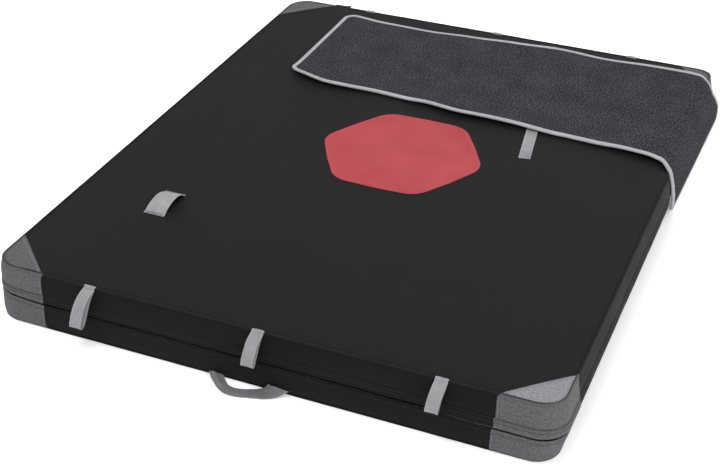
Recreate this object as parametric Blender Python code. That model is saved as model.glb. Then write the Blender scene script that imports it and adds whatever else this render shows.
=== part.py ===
"""A bouldering crash pad, laid open, that folds in half across its width.

The origin is on the ground under the middle of the fold. X runs along the front edge, Y from the
front edge to the far edge, and Z points up. All sizes are in metres.
"""

import math

import bmesh
import bpy
from mathutils import Matrix, Vector

# The open pad
PAD_WIDTH = 1.17
PAD_LENGTH = 1.45
PAD_HEIGHT = 0.127
CORNER_RADIUS = 0.05
CORNER_STEPS = 6

# Clearances and cloth
SEAT_GAP = 0.0003
FOLD_GAP = 0.0003
FOLD_AXIS_RISE = 0.022
CLOTH_THICKNESS = 0.0015
PATCH_THICKNESS = 0.0007

# The top's crown: the flat middle stands over the seam, and a rounded border joins them
TOP_CROWN = 0.003
CROWN_BORDER = 0.045
CROWN_STEPS = 3
BOTTOM_EDGE_ROUND = 0.0012

# Side bands, zip and the strip that covers the zip
LOWER_BULGE = 0.0065
UPPER_BULGE = 0.008
BAND_STEPS = 5
ZIP_HEIGHT = 0.055
ZIP_WIDTH = 0.014
ZIP_CHAIN_WIDTH = 0.006
ZIP_CHAIN_DEPTH = 0.0012
ZIP_COVER_TOP = 0.076
ZIP_COVER_DROP = 0.020
ZIP_COVER_STANDOUT = 0.0055
ZIP_COVER_THICKNESS = 0.0012

# Foam layers
TOP_FOAM_THICKNESS = 0.020
BASE_FOAM_THICKNESS = 0.020

# Grey corner patches
CORNER_PATCH_REACH = 0.110
CORNER_PATCH_ROWS = 5

# Webbing loops that hang in the top seams
HANGING_LOOP_MARGIN = 0.220
HANGING_LOOP_WIDTH = 0.025
HANGING_LOOP_DROPS = {"left": 0.083, "middle": 0.070, "right": 0.061}
HANGING_LOOP_SLANTS = {"left": 0.024, "middle": 0.014, "right": 0.011}
HANGING_LOOP_STANDOUTS = {"left": 0.034, "middle": 0.027, "right": 0.024}
HANGING_LOOP_INNER_STANDOUT = 0.034
WEBBING_THICKNESS = 0.0018
HANGING_LOOP_CURVE_STEPS = 2
HANGING_LOOP_INNER_POINTS = 5
HANGING_LOOP_OUT_SHARES = (0.051, 0.21, 0.31, 0.34, 0.38, 0.60, 0.91, 1.0, 0.93, 0.66, 0.26, 0.0)
HANGING_LOOP_DOWN_SHARES = (0.046, 0.13, 0.31, 0.56, 0.82, 0.97, 0.88, 0.64, 0.38, 0.15, 0.035, 0.018)

# Grab loop on the top of the front half
GRAB_LOOP_SIDE_MARGIN = 0.200
GRAB_LOOP_FRONT_MARGIN = 0.335
GRAB_LOOP_WIDTH = 0.048
GRAB_LOOP_SPAN = 0.096
GRAB_LOOP_RISE = 0.021
GRAB_LOOP_CURVE_STEPS = 2
GRAB_LOOP_ALONG_SHARES = (-0.5, -0.40, -0.28, -0.06, 0.16, 0.32, 0.42, 0.5)
GRAB_LOOP_RISE_SHARES = (0.0, 0.06, 0.50, 0.96, 0.90, 0.42, 0.05, 0.0)

# Flat tab on the top of the rear half, and the small one in the far seam
TOP_TAB_MARGIN = 0.328
TOP_TAB_SLANT = -0.018
TOP_TAB_LENGTH = 0.157
TOP_TAB_TUCK = 0.007
TOP_TAB_WIDTH = 0.027
SEAM_TAB_CLEARANCE = 0.001
SEAM_TAB_WIDTH = 0.044
SEAM_TAB_LENGTH = 0.020
SEAM_TAB_THICKNESS = 0.004

# Carpet flap on the rear half
FLAP_LEFT_MARGIN = 0.173
FLAP_FAR_MARGIN = 0.043
FLAP_DEPTH = 0.427
FLAP_CORNER_RADIUS = 0.035
FLAP_CORNER_STEPS = 4
FLAP_WAVINESS = 0.050
FLAP_NEAR_SHARES = (1.0, 0.75, 0.45, 0.25, 0.10, -0.15, -0.25, -0.35, -0.70)
FLAP_FAR_SHARES = (-0.10, -0.40, -0.40, -0.05, 0.35, 0.05, -0.10, 0.42, -0.10)
FLAP_STATION_STEPS = 2
FLAP_LIFT = 0.005
FLAP_LIFT_BORDER = 0.080
FLAP_LIFT_CREST_MARGIN = 0.330
FLAP_LIFT_PITCH = 0.330
FLAP_BACKING_THICKNESS = 0.0012
FLAP_CARPET_THICKNESS = 0.0035
FLAP_BINDING_THICKNESS = 0.0010
FLAP_BINDING_WIDTH = 0.011
FLAP_ROW_SHARES = (0.0, 0.3, 0.65, 1.0)
FLAP_STRAIGHT_RUN = 0.030
FLAP_GROUND_CLEARANCE = 0.0005
FLAP_HEM_HEIGHT = 0.005
FLAP_SIDE_STEPS = 4

# Carry handle in the front bottom seam
HANDLE_LEFT_X = -0.108
HANDLE_RIGHT_X = 0.070
HANDLE_REACH = 0.0335
HANDLE_ROOT_WIDTH = 0.040
HANDLE_MIDDLE_WIDTH = 0.024
HANDLE_THICKNESS = 0.0030
HANDLE_GROUND_CLEARANCE = 0.0005
HANDLE_CURVE_STEPS = 3
HANDLE_ALONG_SHARES = (0.11, 0.115, 0.178, 0.300, 0.41, 0.562, 0.719, 0.825, 0.858, 0.862)
HANDLE_OUT_SHARES = (0.0, 0.41, 0.80, 0.985, 1.0, 0.86, 0.68, 0.50, 0.30, 0.0)
HANDLE_WIDTH_SHARES = (1.0, 0.60, 0.10, 0.0, 0.0, 0.0, 0.10, 0.35, 0.85, 1.15)

# Zip slider on the far side, and its puller
SLIDER_MARGIN = 0.035
SLIDER_LENGTH = 0.012
SLIDER_HEIGHT = 0.009
SLIDER_DEPTH = 0.0025
SLIDER_BEVEL = 0.0007
PULLER_WIDTH = 0.007
PULLER_LENGTH = 0.026
PULLER_THICKNESS = 0.0015
PULLER_TOP_STANDOUT = 0.0040
PULLER_FOOT_STANDOUT = 0.0080

# Carrying harness pressed into the underside of the rear half
HARNESS_SPREAD = 0.220
CHANNEL_LEFT_MARGIN = 0.285
CHANNEL_RIGHT_MARGIN = 0.245
CHANNEL_WIDTH = 0.084
CHANNEL_DEPTH = 0.0105
CHANNEL_CORNER = 0.020
STRAP_LENGTH = 0.400
STRAP_WIDTH = 0.070
STRAP_TIP_WIDTH = 0.030
STRAP_THICKNESS = 0.0090
STRAP_EDGE_ROUND = 0.003
STRAP_ALONG_SHARES = (0.0, 0.12, 0.30, 0.60, 0.85, 1.0)
STRAP_WIDTH_SHARES = (0.34, 0.80, 1.0, 1.0, 0.55, 0.0)
BUCKLE_LENGTH = 0.036
BUCKLE_WIDTH = 0.034
BUCKLE_THICKNESS = 0.0030
BUCKLE_SLOT_LENGTH = 0.0075
BUCKLE_BAR = 0.0055
BUCKLE_SIDE = 0.0030
BUCKLE_CORNER = 0.0025
BUCKLE_SLOT_CORNER = 0.0012
STRAP_WEBBING_WIDTH = 0.025
STRAP_WEBBING_THICKNESS = 0.0016
STRAP_TAIL_LENGTH = 0.070

TURN_STEPS = 3
CUT_OVERRUN = 0.010

# Places that follow from the sizes above
HALF_WIDTH = PAD_WIDTH / 2
HALF_LENGTH = PAD_LENGTH / 2
TOP_PLANE = PAD_HEIGHT + TOP_CROWN
FOLD_AXIS_HEIGHT = TOP_PLANE + FOLD_AXIS_RISE
ZIP_LOW = ZIP_HEIGHT - ZIP_WIDTH / 2
ZIP_HIGH = ZIP_HEIGHT + ZIP_WIDTH / 2
LOWER_BAND_FOOT = CLOTH_THICKNESS + SEAT_GAP
UPPER_BAND_TOP = PAD_HEIGHT - CLOTH_THICKNESS - SEAT_GAP
LINING = CLOTH_THICKNESS + SEAT_GAP
FLAP_THICKNESS = (2 * FLAP_BINDING_THICKNESS + FLAP_BACKING_THICKNESS + FLAP_CARPET_THICKNESS
                  + 3 * SEAT_GAP)
PATCH_RISE = SEAT_GAP + PATCH_THICKNESS
FLAP_UNDERSIDE = TOP_PLANE + PATCH_RISE + SEAT_GAP
FLAP_TOP = FLAP_UNDERSIDE + FLAP_THICKNESS
FLAP_INNER_X = HALF_WIDTH + UPPER_BULGE + PATCH_RISE + SEAT_GAP
FLAP_STRAIGHT_X = HALF_WIDTH - FLAP_STRAIGHT_RUN
FLAP_LEFT_X = FLAP_LEFT_MARGIN - HALF_WIDTH
FLAP_FAR_Y = HALF_LENGTH - FLAP_FAR_MARGIN
FLAP_NEAR_Y = FLAP_FAR_Y - FLAP_DEPTH
FLAP_LIFT_CREST_X = HALF_WIDTH - FLAP_LIFT_CREST_MARGIN
PATCH_START_X = HALF_WIDTH - CORNER_PATCH_REACH
HANGING_LOOP_SPACING = HALF_WIDTH - HANGING_LOOP_MARGIN
GRAB_LOOP_X = GRAB_LOOP_SIDE_MARGIN - HALF_WIDTH
GRAB_LOOP_Y = GRAB_LOOP_FRONT_MARGIN - HALF_LENGTH
TOP_TAB_X = HALF_WIDTH - TOP_TAB_MARGIN
TOP_TAB_END_Y = FLAP_NEAR_Y + TOP_TAB_TUCK
TOP_TAB_START_Y = TOP_TAB_END_Y - TOP_TAB_LENGTH
SEAM_TAB_X = SEAM_TAB_CLEARANCE + SEAM_TAB_WIDTH / 2 - PATCH_START_X
SLIDER_X = SLIDER_MARGIN - PATCH_START_X
HARNESS_CENTRE_Y = HALF_LENGTH / 2
CHANNEL_START_X = CHANNEL_LEFT_MARGIN - HALF_WIDTH
CHANNEL_END_X = HALF_WIDTH - CHANNEL_RIGHT_MARGIN
FLAP_MITRE_GAP = 2 * SEAT_GAP
FLAP_OUTER_X = FLAP_INNER_X + FLAP_THICKNESS
FRONT = -1
REAR = 1
END_NAMES = {FRONT: "front", REAR: "rear"}
SIDE_NAMES = {-1: "left", 1: "right"}

COLOURS = {
    "cover": ((0.022, 0.022, 0.023), 0.75),
    "grey_cloth": ((0.16, 0.16, 0.17), 0.80),
    "webbing": ((0.30, 0.30, 0.31), 0.80),
    "black_webbing": ((0.015, 0.015, 0.016), 0.75),
    "zip": ((0.010, 0.010, 0.010), 0.50),
    "firm_foam": ((0.12, 0.12, 0.13), 0.90),
    "soft_foam": ((0.45, 0.44, 0.40), 0.95),
    "carpet": ((0.045, 0.045, 0.050), 1.00),
    "binding": ((0.38, 0.38, 0.39), 0.75),
    "plastic": ((0.012, 0.012, 0.012), 0.40),
}


def clear_scene():
    for item in list(bpy.data.objects):
        bpy.data.objects.remove(item, do_unlink=True)


def make_materials():
    made = {}
    for name, (colour, roughness) in COLOURS.items():
        material = bpy.data.materials.new(name)
        material.use_nodes = True
        shader = material.node_tree.nodes["Principled BSDF"]
        shader.inputs["Base Color"].default_value = (*colour, 1.0)
        shader.inputs["Roughness"].default_value = roughness
        shader.inputs["Metallic"].default_value = 0.0
        made[name] = material
    return made


def make_pivot(name, place, parent=None):
    """An empty on a moving body's joint axis, in world coordinates."""
    pivot = bpy.data.objects.new(name, None)
    bpy.context.collection.objects.link(pivot)
    pivot.location = Vector(place)
    if parent:
        pivot.parent = parent
        pivot.location -= parent.matrix_world.translation
    bpy.context.view_layer.update()
    return pivot


def place_solid(name, bm, material, pivot):
    """Makes an object from a solid drawn in world coordinates, with its origin at the pivot."""
    bmesh.ops.recalc_face_normals(bm, faces=bm.faces)
    mesh = bpy.data.meshes.new(name)
    bm.to_mesh(mesh)
    bm.free()
    mesh.transform(Matrix.Translation(-pivot.matrix_world.translation))
    mesh.materials.append(material)
    mesh.shade_smooth()
    mesh.set_sharp_from_angle(angle=math.radians(40))
    solid = bpy.data.objects.new(name, mesh)
    bpy.context.collection.objects.link(solid)
    solid.parent = pivot
    return solid


def loft(sections):
    """A closed solid through a row of closed sections, capped at both ends."""
    bm = bmesh.new()
    rows = [[bm.verts.new(point) for point in section] for section in sections]
    for row, following in zip(rows, rows[1:]):
        for i, corner in enumerate(row):
            j = (i + 1) % len(row)
            bm.faces.new((corner, row[j], following[j], following[i]))
    bm.faces.new(rows[0][::-1])
    bm.faces.new(rows[-1])
    return bm


def thicken_down(bm, thickness):
    """Turns an open sheet into a solid that reaches the same distance below it all over."""
    made = bmesh.ops.extrude_face_region(bm, geom=list(bm.faces), use_keep_orig=True)
    lowered = [item for item in made["geom"] if isinstance(item, bmesh.types.BMVert)]
    bmesh.ops.translate(bm, verts=lowered, vec=(0, 0, -thickness))
    return bm


def rim(grid):
    """The points round the edge of a grid, in order."""
    return (grid[0] + [row[-1] for row in grid[1:-1]] + grid[-1][::-1]
            + [row[0] for row in grid[-2:0:-1]])


def slab(over, under):
    """A closed solid between two grids of points, with its faces split alike on both."""
    bm = bmesh.new()
    grids = [[[bm.verts.new(point) for point in row] for row in grid] for grid in (over, under)]
    for grid in grids:
        for row, following in zip(grid, grid[1:]):
            for i in range(len(row) - 1):
                bm.faces.new((row[i], row[i + 1], following[i + 1]))
                bm.faces.new((row[i], following[i + 1], following[i]))
    upper, lower = (rim(grid) for grid in grids)
    for i in range(len(upper)):
        bm.faces.new((upper[i - 1], upper[i], lower[i], lower[i - 1]))
    return bm


def smooth_curve(points, steps):
    """Points on a Catmull-Rom curve through the given ones, with the ends kept."""
    points = [Vector(point) for point in points]
    padded = [2 * points[0] - points[1]] + points + [2 * points[-1] - points[-2]]
    curve = []
    for a, b, c, d in zip(padded, padded[1:], padded[2:], padded[3:]):
        for i in range(steps):
            t = i / steps
            curve.append(
                (2 * b + (c - a) * t + (2 * a - 5 * b + 4 * c - d) * t**2
                 + (3 * b - a - 3 * c + d) * t**3) / 2
            )
    return curve + [points[-1]]


def ribbon(route, acrosses, widths, thickness):
    """A flat strap along a route, whose middle line it follows."""
    sections = []
    for i, point in enumerate(route):
        tangent = (route[min(i + 1, len(route) - 1)] - route[max(i - 1, 0)]).normalized()
        across = acrosses[i] * widths[i] / 2
        through = tangent.cross(acrosses[i]).normalized() * thickness / 2
        sections.append([point + across + through, point - across + through,
                         point - across - through, point + across - through])
    return loft(sections)


def corner_arc(side, end):
    """Plan points and outward normals round one corner, from the side edge to the end edge."""
    centre = Vector((side * (HALF_WIDTH - CORNER_RADIUS), end * (HALF_LENGTH - CORNER_RADIUS), 0))
    arc = []
    for i in range(CORNER_STEPS + 1):
        turn = math.pi / 2 * i / CORNER_STEPS
        normal = Vector((side * math.cos(turn), end * math.sin(turn), 0))
        arc.append((centre + normal * CORNER_RADIUS, normal))
    return arc


def half_path(end):
    """Plan points and outward normals round one half, from the fold on the right to the left."""
    fold_y = end * FOLD_GAP / 2
    right, left = Vector((1, 0, 0)), Vector((-1, 0, 0))
    start = [(Vector((HALF_WIDTH, fold_y, 0)), right)]
    finish = [(Vector((-HALF_WIDTH, fold_y, 0)), left)]
    return start + corner_arc(1, end) + corner_arc(-1, end)[::-1] + finish


def corner_path(side, end):
    """The stretch of the pad's outline that a corner patch covers."""
    on_side = Vector((side * HALF_WIDTH, end * (HALF_LENGTH - CORNER_PATCH_REACH), 0))
    on_end = Vector((side * (HALF_WIDTH - CORNER_PATCH_REACH), end * HALF_LENGTH, 0))
    return ([(on_side, Vector((side, 0, 0)))] + corner_arc(side, end)
            + [(on_end, Vector((0, end, 0)))])


def bowed_profile(low, high, bulge):
    """Heights and stand-outs of a band of cloth that bows out between its two seams."""
    rows = []
    for i in range(BAND_STEPS + 1):
        share = i / BAND_STEPS
        rows.append((low + (high - low) * share, bulge * 4 * share * (1 - share)))
    return rows


LOWER_PROFILE = bowed_profile(LOWER_BAND_FOOT, ZIP_LOW, LOWER_BULGE)
UPPER_PROFILE = bowed_profile(ZIP_HIGH, UPPER_BAND_TOP, UPPER_BULGE)
SIDE_PROFILE = LOWER_PROFILE + UPPER_PROFILE


def side_standout(height):
    """How far the cover stands out of its seams at a height."""
    if height <= SIDE_PROFILE[0][0]:
        return SIDE_PROFILE[0][1]
    for (low, out_low), (high, out_high) in zip(SIDE_PROFILE, SIDE_PROFILE[1:]):
        if height <= high:
            return out_low + (out_high - out_low) * (height - low) / (high - low)
    return SIDE_PROFILE[-1][1]


def crown_height(inset):
    """Height of the top cloth at a distance in from the pad's outline."""
    share = min(max(inset / CROWN_BORDER, 0), 1)
    return PAD_HEIGHT + TOP_CROWN * (1 - (1 - share) ** 2)


def outline_inset(x, y):
    """How far a plan point lies inside the pad's outline."""
    over_x = abs(x) - (HALF_WIDTH - CORNER_RADIUS)
    over_y = abs(y) - (HALF_LENGTH - CORNER_RADIUS)
    outside = math.hypot(max(over_x, 0), max(over_y, 0))
    return CORNER_RADIUS - outside - min(max(over_x, over_y), 0)


def wall_along(path, profile, thickness):
    """A strip of cloth that follows the outline, with its outer face on the profile."""
    sections = []
    for point, normal in path:
        outer = [point + normal * out + Vector((0, 0, height)) for height, out in profile]
        inner = [corner - normal * thickness for corner in outer]
        sections.append(outer + inner[::-1])
    return loft(sections)


def block_between(end, levels):
    """A solid filling one half's outline, through levels of height and stand-out."""
    path = half_path(end)
    return loft([[point + normal * out + Vector((0, 0, height)) for point, normal in path]
                 for height, out in levels])


def foam_levels(low, high):
    """Levels of a foam layer whose sides lie against the inside of the cover."""
    between = [height for height, _ in SIDE_PROFILE if low < height < high]
    return [(height, side_standout(height) - LINING) for height in [low] + between + [high]]


def top_panel(end):
    """The crowned top cloth over one half."""
    bm = bmesh.new()
    path = half_path(end)
    rows = []
    for i in range(CROWN_STEPS + 1):
        distance = CROWN_BORDER * i / CROWN_STEPS
        height = Vector((0, 0, crown_height(distance)))
        rows.append([bm.verts.new(point - normal * distance + height) for point, normal in path])
    for row, following in zip(rows, rows[1:]):
        for i in range(len(row) - 1):
            bm.faces.new((row[i], row[i + 1], following[i + 1], following[i]))
    bm.faces.new(rows[-1])
    return thicken_down(bm, CLOTH_THICKNESS)


def make_cover(end, pivot, materials):
    """The cloth cover of one half: top, bottom, side bands, zip and the strip over the zip."""
    name = END_NAMES[end]
    path = half_path(end)
    cover = materials["cover"]
    upper = wall_along(path, UPPER_PROFILE, CLOTH_THICKNESS)
    lower = wall_along(path, LOWER_PROFILE, CLOTH_THICKNESS)
    over_zip = wall_along(path, zip_cover_profile(), ZIP_COVER_THICKNESS)
    bottom = block_between(end, [(0, -BOTTOM_EDGE_ROUND), (CLOTH_THICKNESS, 0)])
    place_solid(f"{name}_top_panel", top_panel(end), cover, pivot)
    place_solid(f"{name}_upper_side_band", upper, cover, pivot)
    place_solid(f"{name}_lower_side_band", lower, cover, pivot)
    place_solid(f"{name}_zip_cover", over_zip, cover, pivot)
    place_solid(f"{name}_zip", zip_strip(path), materials["zip"], pivot)
    return place_solid(f"{name}_bottom_panel", bottom, cover, pivot)


def zip_cover_profile():
    """The strip is sewn to the upper band and hangs straight over the zip."""
    sewn = side_standout(ZIP_COVER_TOP) + SEAT_GAP + ZIP_COVER_THICKNESS
    return [(ZIP_COVER_TOP - ZIP_COVER_DROP, ZIP_COVER_STANDOUT), (ZIP_COVER_TOP, sewn)]


def zip_strip(path):
    """The two tapes and the chain of the zip, which stands out in their middle."""
    chain_low = ZIP_HEIGHT - ZIP_CHAIN_WIDTH / 2
    chain_high = ZIP_HEIGHT + ZIP_CHAIN_WIDTH / 2
    outer = [(ZIP_LOW + SEAT_GAP, 0), (chain_low, 0), (chain_low, ZIP_CHAIN_DEPTH),
             (chain_high, ZIP_CHAIN_DEPTH), (chain_high, 0), (ZIP_HIGH - SEAT_GAP, 0)]
    sections = []
    for point, normal in path:
        front = [point + normal * out + Vector((0, 0, height)) for height, out in outer]
        back = [front[-1] - normal * CLOTH_THICKNESS, front[0] - normal * CLOTH_THICKNESS]
        sections.append(front + back)
    return loft(sections)


def make_foam(end, pivot, materials):
    """Three layers: a firm sheet on top, a soft core and a firm base sheet."""
    name = END_NAMES[end]
    base_top = LINING + BASE_FOAM_THICKNESS
    core_top = PAD_HEIGHT - LINING - TOP_FOAM_THICKNESS
    base = block_between(end, foam_levels(LINING, base_top))
    base_solid = place_solid(f"{name}_base_foam", base, materials["firm_foam"], pivot)
    core = block_between(end, foam_levels(base_top + SEAT_GAP, core_top))
    place_solid(f"{name}_core_foam", core, materials["soft_foam"], pivot)
    top = block_between(end, top_foam_levels(core_top + SEAT_GAP))
    place_solid(f"{name}_top_foam", top, materials["firm_foam"], pivot)
    return base_solid


def top_foam_levels(low):
    """The top foam follows the side band and then the crown of the top cloth."""
    levels = foam_levels(low, PAD_HEIGHT - LINING)
    for i in range(1, CROWN_STEPS + 1):
        distance = CROWN_BORDER * i / CROWN_STEPS
        levels.append((crown_height(distance) - LINING, -distance))
    return levels


def corner_top_patch(side, end):
    """The triangle on the top, from the corner's outline to its slanted inner edge."""
    outline = [point for point, _ in corner_path(side, end)]
    start, finish = outline[0], outline[-1]
    bm = bmesh.new()
    rows = []
    for i, edge in enumerate(outline):
        inner = start.lerp(finish, i / (len(outline) - 1))
        row = []
        for j in range(CORNER_PATCH_ROWS + 1):
            spot = edge.lerp(inner, j / CORNER_PATCH_ROWS)
            height = crown_height(outline_inset(spot.x, spot.y)) + PATCH_RISE
            row.append(Vector((spot.x, spot.y, height)))
        rows.append(row)
    first, last = bm.verts.new(rows[0][0]), bm.verts.new(rows[-1][0])
    grid = [[bm.verts.new(spot) for spot in row] for row in rows[1:-1]]
    for row, following in zip(grid, grid[1:]):
        for j in range(CORNER_PATCH_ROWS):
            bm.faces.new((row[j], row[j + 1], following[j + 1], following[j]))
    for j in range(CORNER_PATCH_ROWS):
        bm.faces.new((first, grid[0][j + 1], grid[0][j]))
        bm.faces.new((last, grid[-1][j], grid[-1][j + 1]))
    return thicken_down(bm, PATCH_THICKNESS)


def raised(profile):
    """The same profile on top of what it is sewn to."""
    return [(height, out + PATCH_RISE) for height, out in profile]


def make_corner(side, end, pivot, materials):
    """The four grey patches round one corner."""
    name = f"{END_NAMES[end]}_{SIDE_NAMES[side]}_corner"
    path = corner_path(side, end)
    grey = materials["grey_cloth"]
    place_solid(f"{name}_top_patch", corner_top_patch(side, end), grey, pivot)
    foot = ZIP_COVER_TOP + SEAT_GAP
    above_cover = [(foot, side_standout(foot))] + [row for row in UPPER_PROFILE if row[0] > foot]
    profiles = {"upper": above_cover, "zip": zip_cover_profile(), "lower": LOWER_PROFILE}
    for place, profile in profiles.items():
        patch = wall_along(path, raised(profile), PATCH_THICKNESS)
        place_solid(f"{name}_{place}_patch", patch, grey, pivot)


def make_hanging_loop(position, x, end, pivot, materials):
    """A webbing loop with both ends in the top seam, bowed away from the side and slanting left."""
    route = []
    for i, (out, down) in enumerate(zip(HANGING_LOOP_OUT_SHARES, HANGING_LOOP_DOWN_SHARES)):
        inner = i < HANGING_LOOP_INNER_POINTS
        standout = out * (HANGING_LOOP_INNER_STANDOUT if inner else HANGING_LOOP_STANDOUTS[position])
        route.append((x - down * HANGING_LOOP_SLANTS[position], end * (HALF_LENGTH + SEAT_GAP + standout),
                      PAD_HEIGHT - down * HANGING_LOOP_DROPS[position]))
    route = smooth_curve(route, HANGING_LOOP_CURVE_STEPS)
    across = [Vector((1, 0, 0))] * len(route)
    webbing = ribbon(route, across, [HANGING_LOOP_WIDTH] * len(route), WEBBING_THICKNESS)
    place_solid(f"{END_NAMES[end]}_{position}_hanging_loop", webbing, materials["webbing"], pivot)


def make_grab_loop(pivot, materials):
    """An arched strap, sewn flat to the top at both ends."""
    sewn = TOP_PLANE + SEAT_GAP + WEBBING_THICKNESS / 2
    route = [(GRAB_LOOP_X, GRAB_LOOP_Y + along * GRAB_LOOP_SPAN, sewn + rise * GRAB_LOOP_RISE)
             for along, rise in zip(GRAB_LOOP_ALONG_SHARES, GRAB_LOOP_RISE_SHARES)]
    route = smooth_curve(route, GRAB_LOOP_CURVE_STEPS)
    across = [Vector((1, 0, 0))] * len(route)
    webbing = ribbon(route, across, [GRAB_LOOP_WIDTH] * len(route), WEBBING_THICKNESS)
    place_solid("top_grab_loop", webbing, materials["webbing"], pivot)


def make_top_tab(pivot, materials):
    """A flat tab whose far end lies under the lifted edge of the carpet flap."""
    height = TOP_PLANE + SEAT_GAP + WEBBING_THICKNESS / 2
    route = [Vector((TOP_TAB_X, TOP_TAB_START_Y, height)),
             Vector((TOP_TAB_X + TOP_TAB_SLANT, TOP_TAB_END_Y, height))]
    across = (route[1] - route[0]).cross(Vector((0, 0, 1))).normalized()
    webbing = ribbon(route, [across] * 2, [TOP_TAB_WIDTH] * 2, WEBBING_THICKNESS)
    place_solid("rear_top_tab", webbing, materials["webbing"], pivot)


def make_seam_tab(pivot, materials):
    """A short folded tab that stands out of the far top seam."""
    root = HALF_LENGTH + SEAT_GAP
    route = [Vector((SEAM_TAB_X, y, PAD_HEIGHT)) for y in (root, root + SEAM_TAB_LENGTH)]
    webbing = ribbon(route, [Vector((1, 0, 0))] * 2, [SEAM_TAB_WIDTH] * 2, SEAM_TAB_THICKNESS)
    place_solid("rear_seam_tab", webbing, materials["black_webbing"], pivot)


def share_between(shares, position):
    """Reads a row of shares at a position from 0 to 1, on a smooth curve between them."""
    place = min(max(position, 0), 1) * (len(shares) - 1)
    i = min(int(place), len(shares) - 2)
    t = place - i
    t = t * t * (3 - 2 * t)
    return shares[i] + (shares[i + 1] - shares[i]) * t


def flap_corner(x, inset):
    """How far in from its long edges the flap starts, with its left corners rounded."""
    into = max(FLAP_LEFT_X + FLAP_CORNER_RADIUS - x, 0)
    radius = FLAP_CORNER_RADIUS - inset
    return FLAP_CORNER_RADIUS - math.sqrt(max(radius**2 - into**2, 0))


def flap_near(x):
    position = (x - FLAP_LEFT_X) / (FLAP_STRAIGHT_X - FLAP_LEFT_X)
    return FLAP_NEAR_Y + FLAP_WAVINESS * share_between(FLAP_NEAR_SHARES, position)


def flap_far(x):
    position = (x - FLAP_LEFT_X) / (FLAP_STRAIGHT_X - FLAP_LEFT_X)
    return FLAP_FAR_Y + FLAP_WAVINESS * share_between(FLAP_FAR_SHARES, position)


def flap_lift(x, y):
    """How high the flap's long edges wave over the top. They lie flat again at the right edge."""
    to_edge = min(y - flap_near(x), flap_far(x) - y)
    border = min(max(1 - to_edge / FLAP_LIFT_BORDER, 0), 1)
    wave = (1 + math.cos(2 * math.pi * (x - FLAP_LIFT_CREST_X) / FLAP_LIFT_PITCH)) / 2
    to_bend = min(max((HALF_WIDTH - FLAP_LIFT_BORDER - x) / FLAP_LIFT_BORDER, 0), 1)
    return FLAP_LIFT * border**2 * wave * to_bend


def flap_stations(inset):
    """Places along X for the flap's sections, close together round its left corners."""
    left = FLAP_LEFT_X + inset
    radius = FLAP_CORNER_RADIUS - inset
    places = [left + radius * (1 - math.cos(math.pi / 2 * i / FLAP_CORNER_STEPS))
              for i in range(FLAP_CORNER_STEPS + 1)]
    spans = (len(FLAP_FAR_SHARES) - 1) * FLAP_STATION_STEPS
    first = places[-1]
    places += [first + (FLAP_STRAIGHT_X - first) * i / spans for i in range(1, spans + 1)]
    return places + [FLAP_INNER_X]


def flap_rows(x, inset):
    """Places across the flap: its edges, the binding's inner edges, the waves and the middle."""
    near, far = flap_near(x), flap_far(x)
    start = flap_corner(x, inset)
    bound = start + FLAP_BINDING_WIDTH - inset
    waves = FLAP_LIFT_BORDER - FLAP_BINDING_WIDTH
    steps = [start] + [bound + share * waves for share in FLAP_ROW_SHARES]
    return [near + step for step in steps] + [(near + far) / 2] + [far - step for step in steps[::-1]]


def flap_layer(low, high, inset):
    """One layer of the flap on the top, mitred where it turns down the side."""
    over, under = [], []
    for x in flap_stations(inset):
        mitred = x >= FLAP_INNER_X
        for faces, out in ((over, high), (under, low)):
            faces.append([Vector((x + out * mitred, y, FLAP_UNDERSIDE + flap_lift(x, y) + out))
                          for y in flap_rows(x, inset)])
    return slab(over, under)


def flap_edge_path():
    """Points round the flap's free edge on the top: near edge, left end and far edge."""
    stations = flap_stations(0)
    near = [Vector((x, flap_near(x) + flap_corner(x, 0), 0)) for x in stations[::-1]]
    far = [Vector((x, flap_far(x) - flap_corner(x, 0), 0)) for x in stations]
    left = [Vector((FLAP_LEFT_X, y, 0)) for y in flap_rows(FLAP_LEFT_X, 0)[1:-1]]
    return near + left + far


def binding_fold():
    """The section of the tape folded round the flap's edge: distance in from it, and height."""
    thickness, width, full = FLAP_BINDING_THICKNESS, FLAP_BINDING_WIDTH, FLAP_THICKNESS
    return [(0, 0), (0, full), (width, full), (width, full - thickness), (thickness, full - thickness),
            (thickness, thickness), (width, thickness), (width, 0)]


def make_top_binding():
    """The tape folded round the flap's free edge on the top."""
    path = flap_edge_path()
    sections = []
    for i, point in enumerate(path):
        along = path[min(i + 1, len(path) - 1)] - path[max(i - 1, 0)]
        inward = Vector((along.y, -along.x, 0)).normalized()
        at_bend = i in (0, len(path) - 1)
        if at_bend:
            inward = Vector((0, 1 if i == 0 else -1, 0))
        section = []
        for into, rise in binding_fold():
            spot = point + inward * into
            height = FLAP_UNDERSIDE + flap_lift(spot.x, spot.y) + rise
            section.append(spot + Vector((rise * at_bend, 0, height)))
        sections.append(section)
    return loft(sections)


def flap_side_layer(low, high, inset):
    """One layer of the flap down the right side, from the bend to the ground."""
    near, far = flap_near(FLAP_INNER_X) + inset, flap_far(FLAP_INNER_X) - inset
    foot = FLAP_GROUND_CLEARANCE + inset
    sections = []
    for i in range(FLAP_SIDE_STEPS + 1):
        section = []
        for edge, out in ((near, low), (near, high), (far, high), (far, low)):
            top = FLAP_UNDERSIDE + out - FLAP_MITRE_GAP
            height = foot + (top - foot) * i / FLAP_SIDE_STEPS
            section.append(Vector((FLAP_INNER_X + out, edge, height)))
        sections.append(section)
    return loft(sections)


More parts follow.
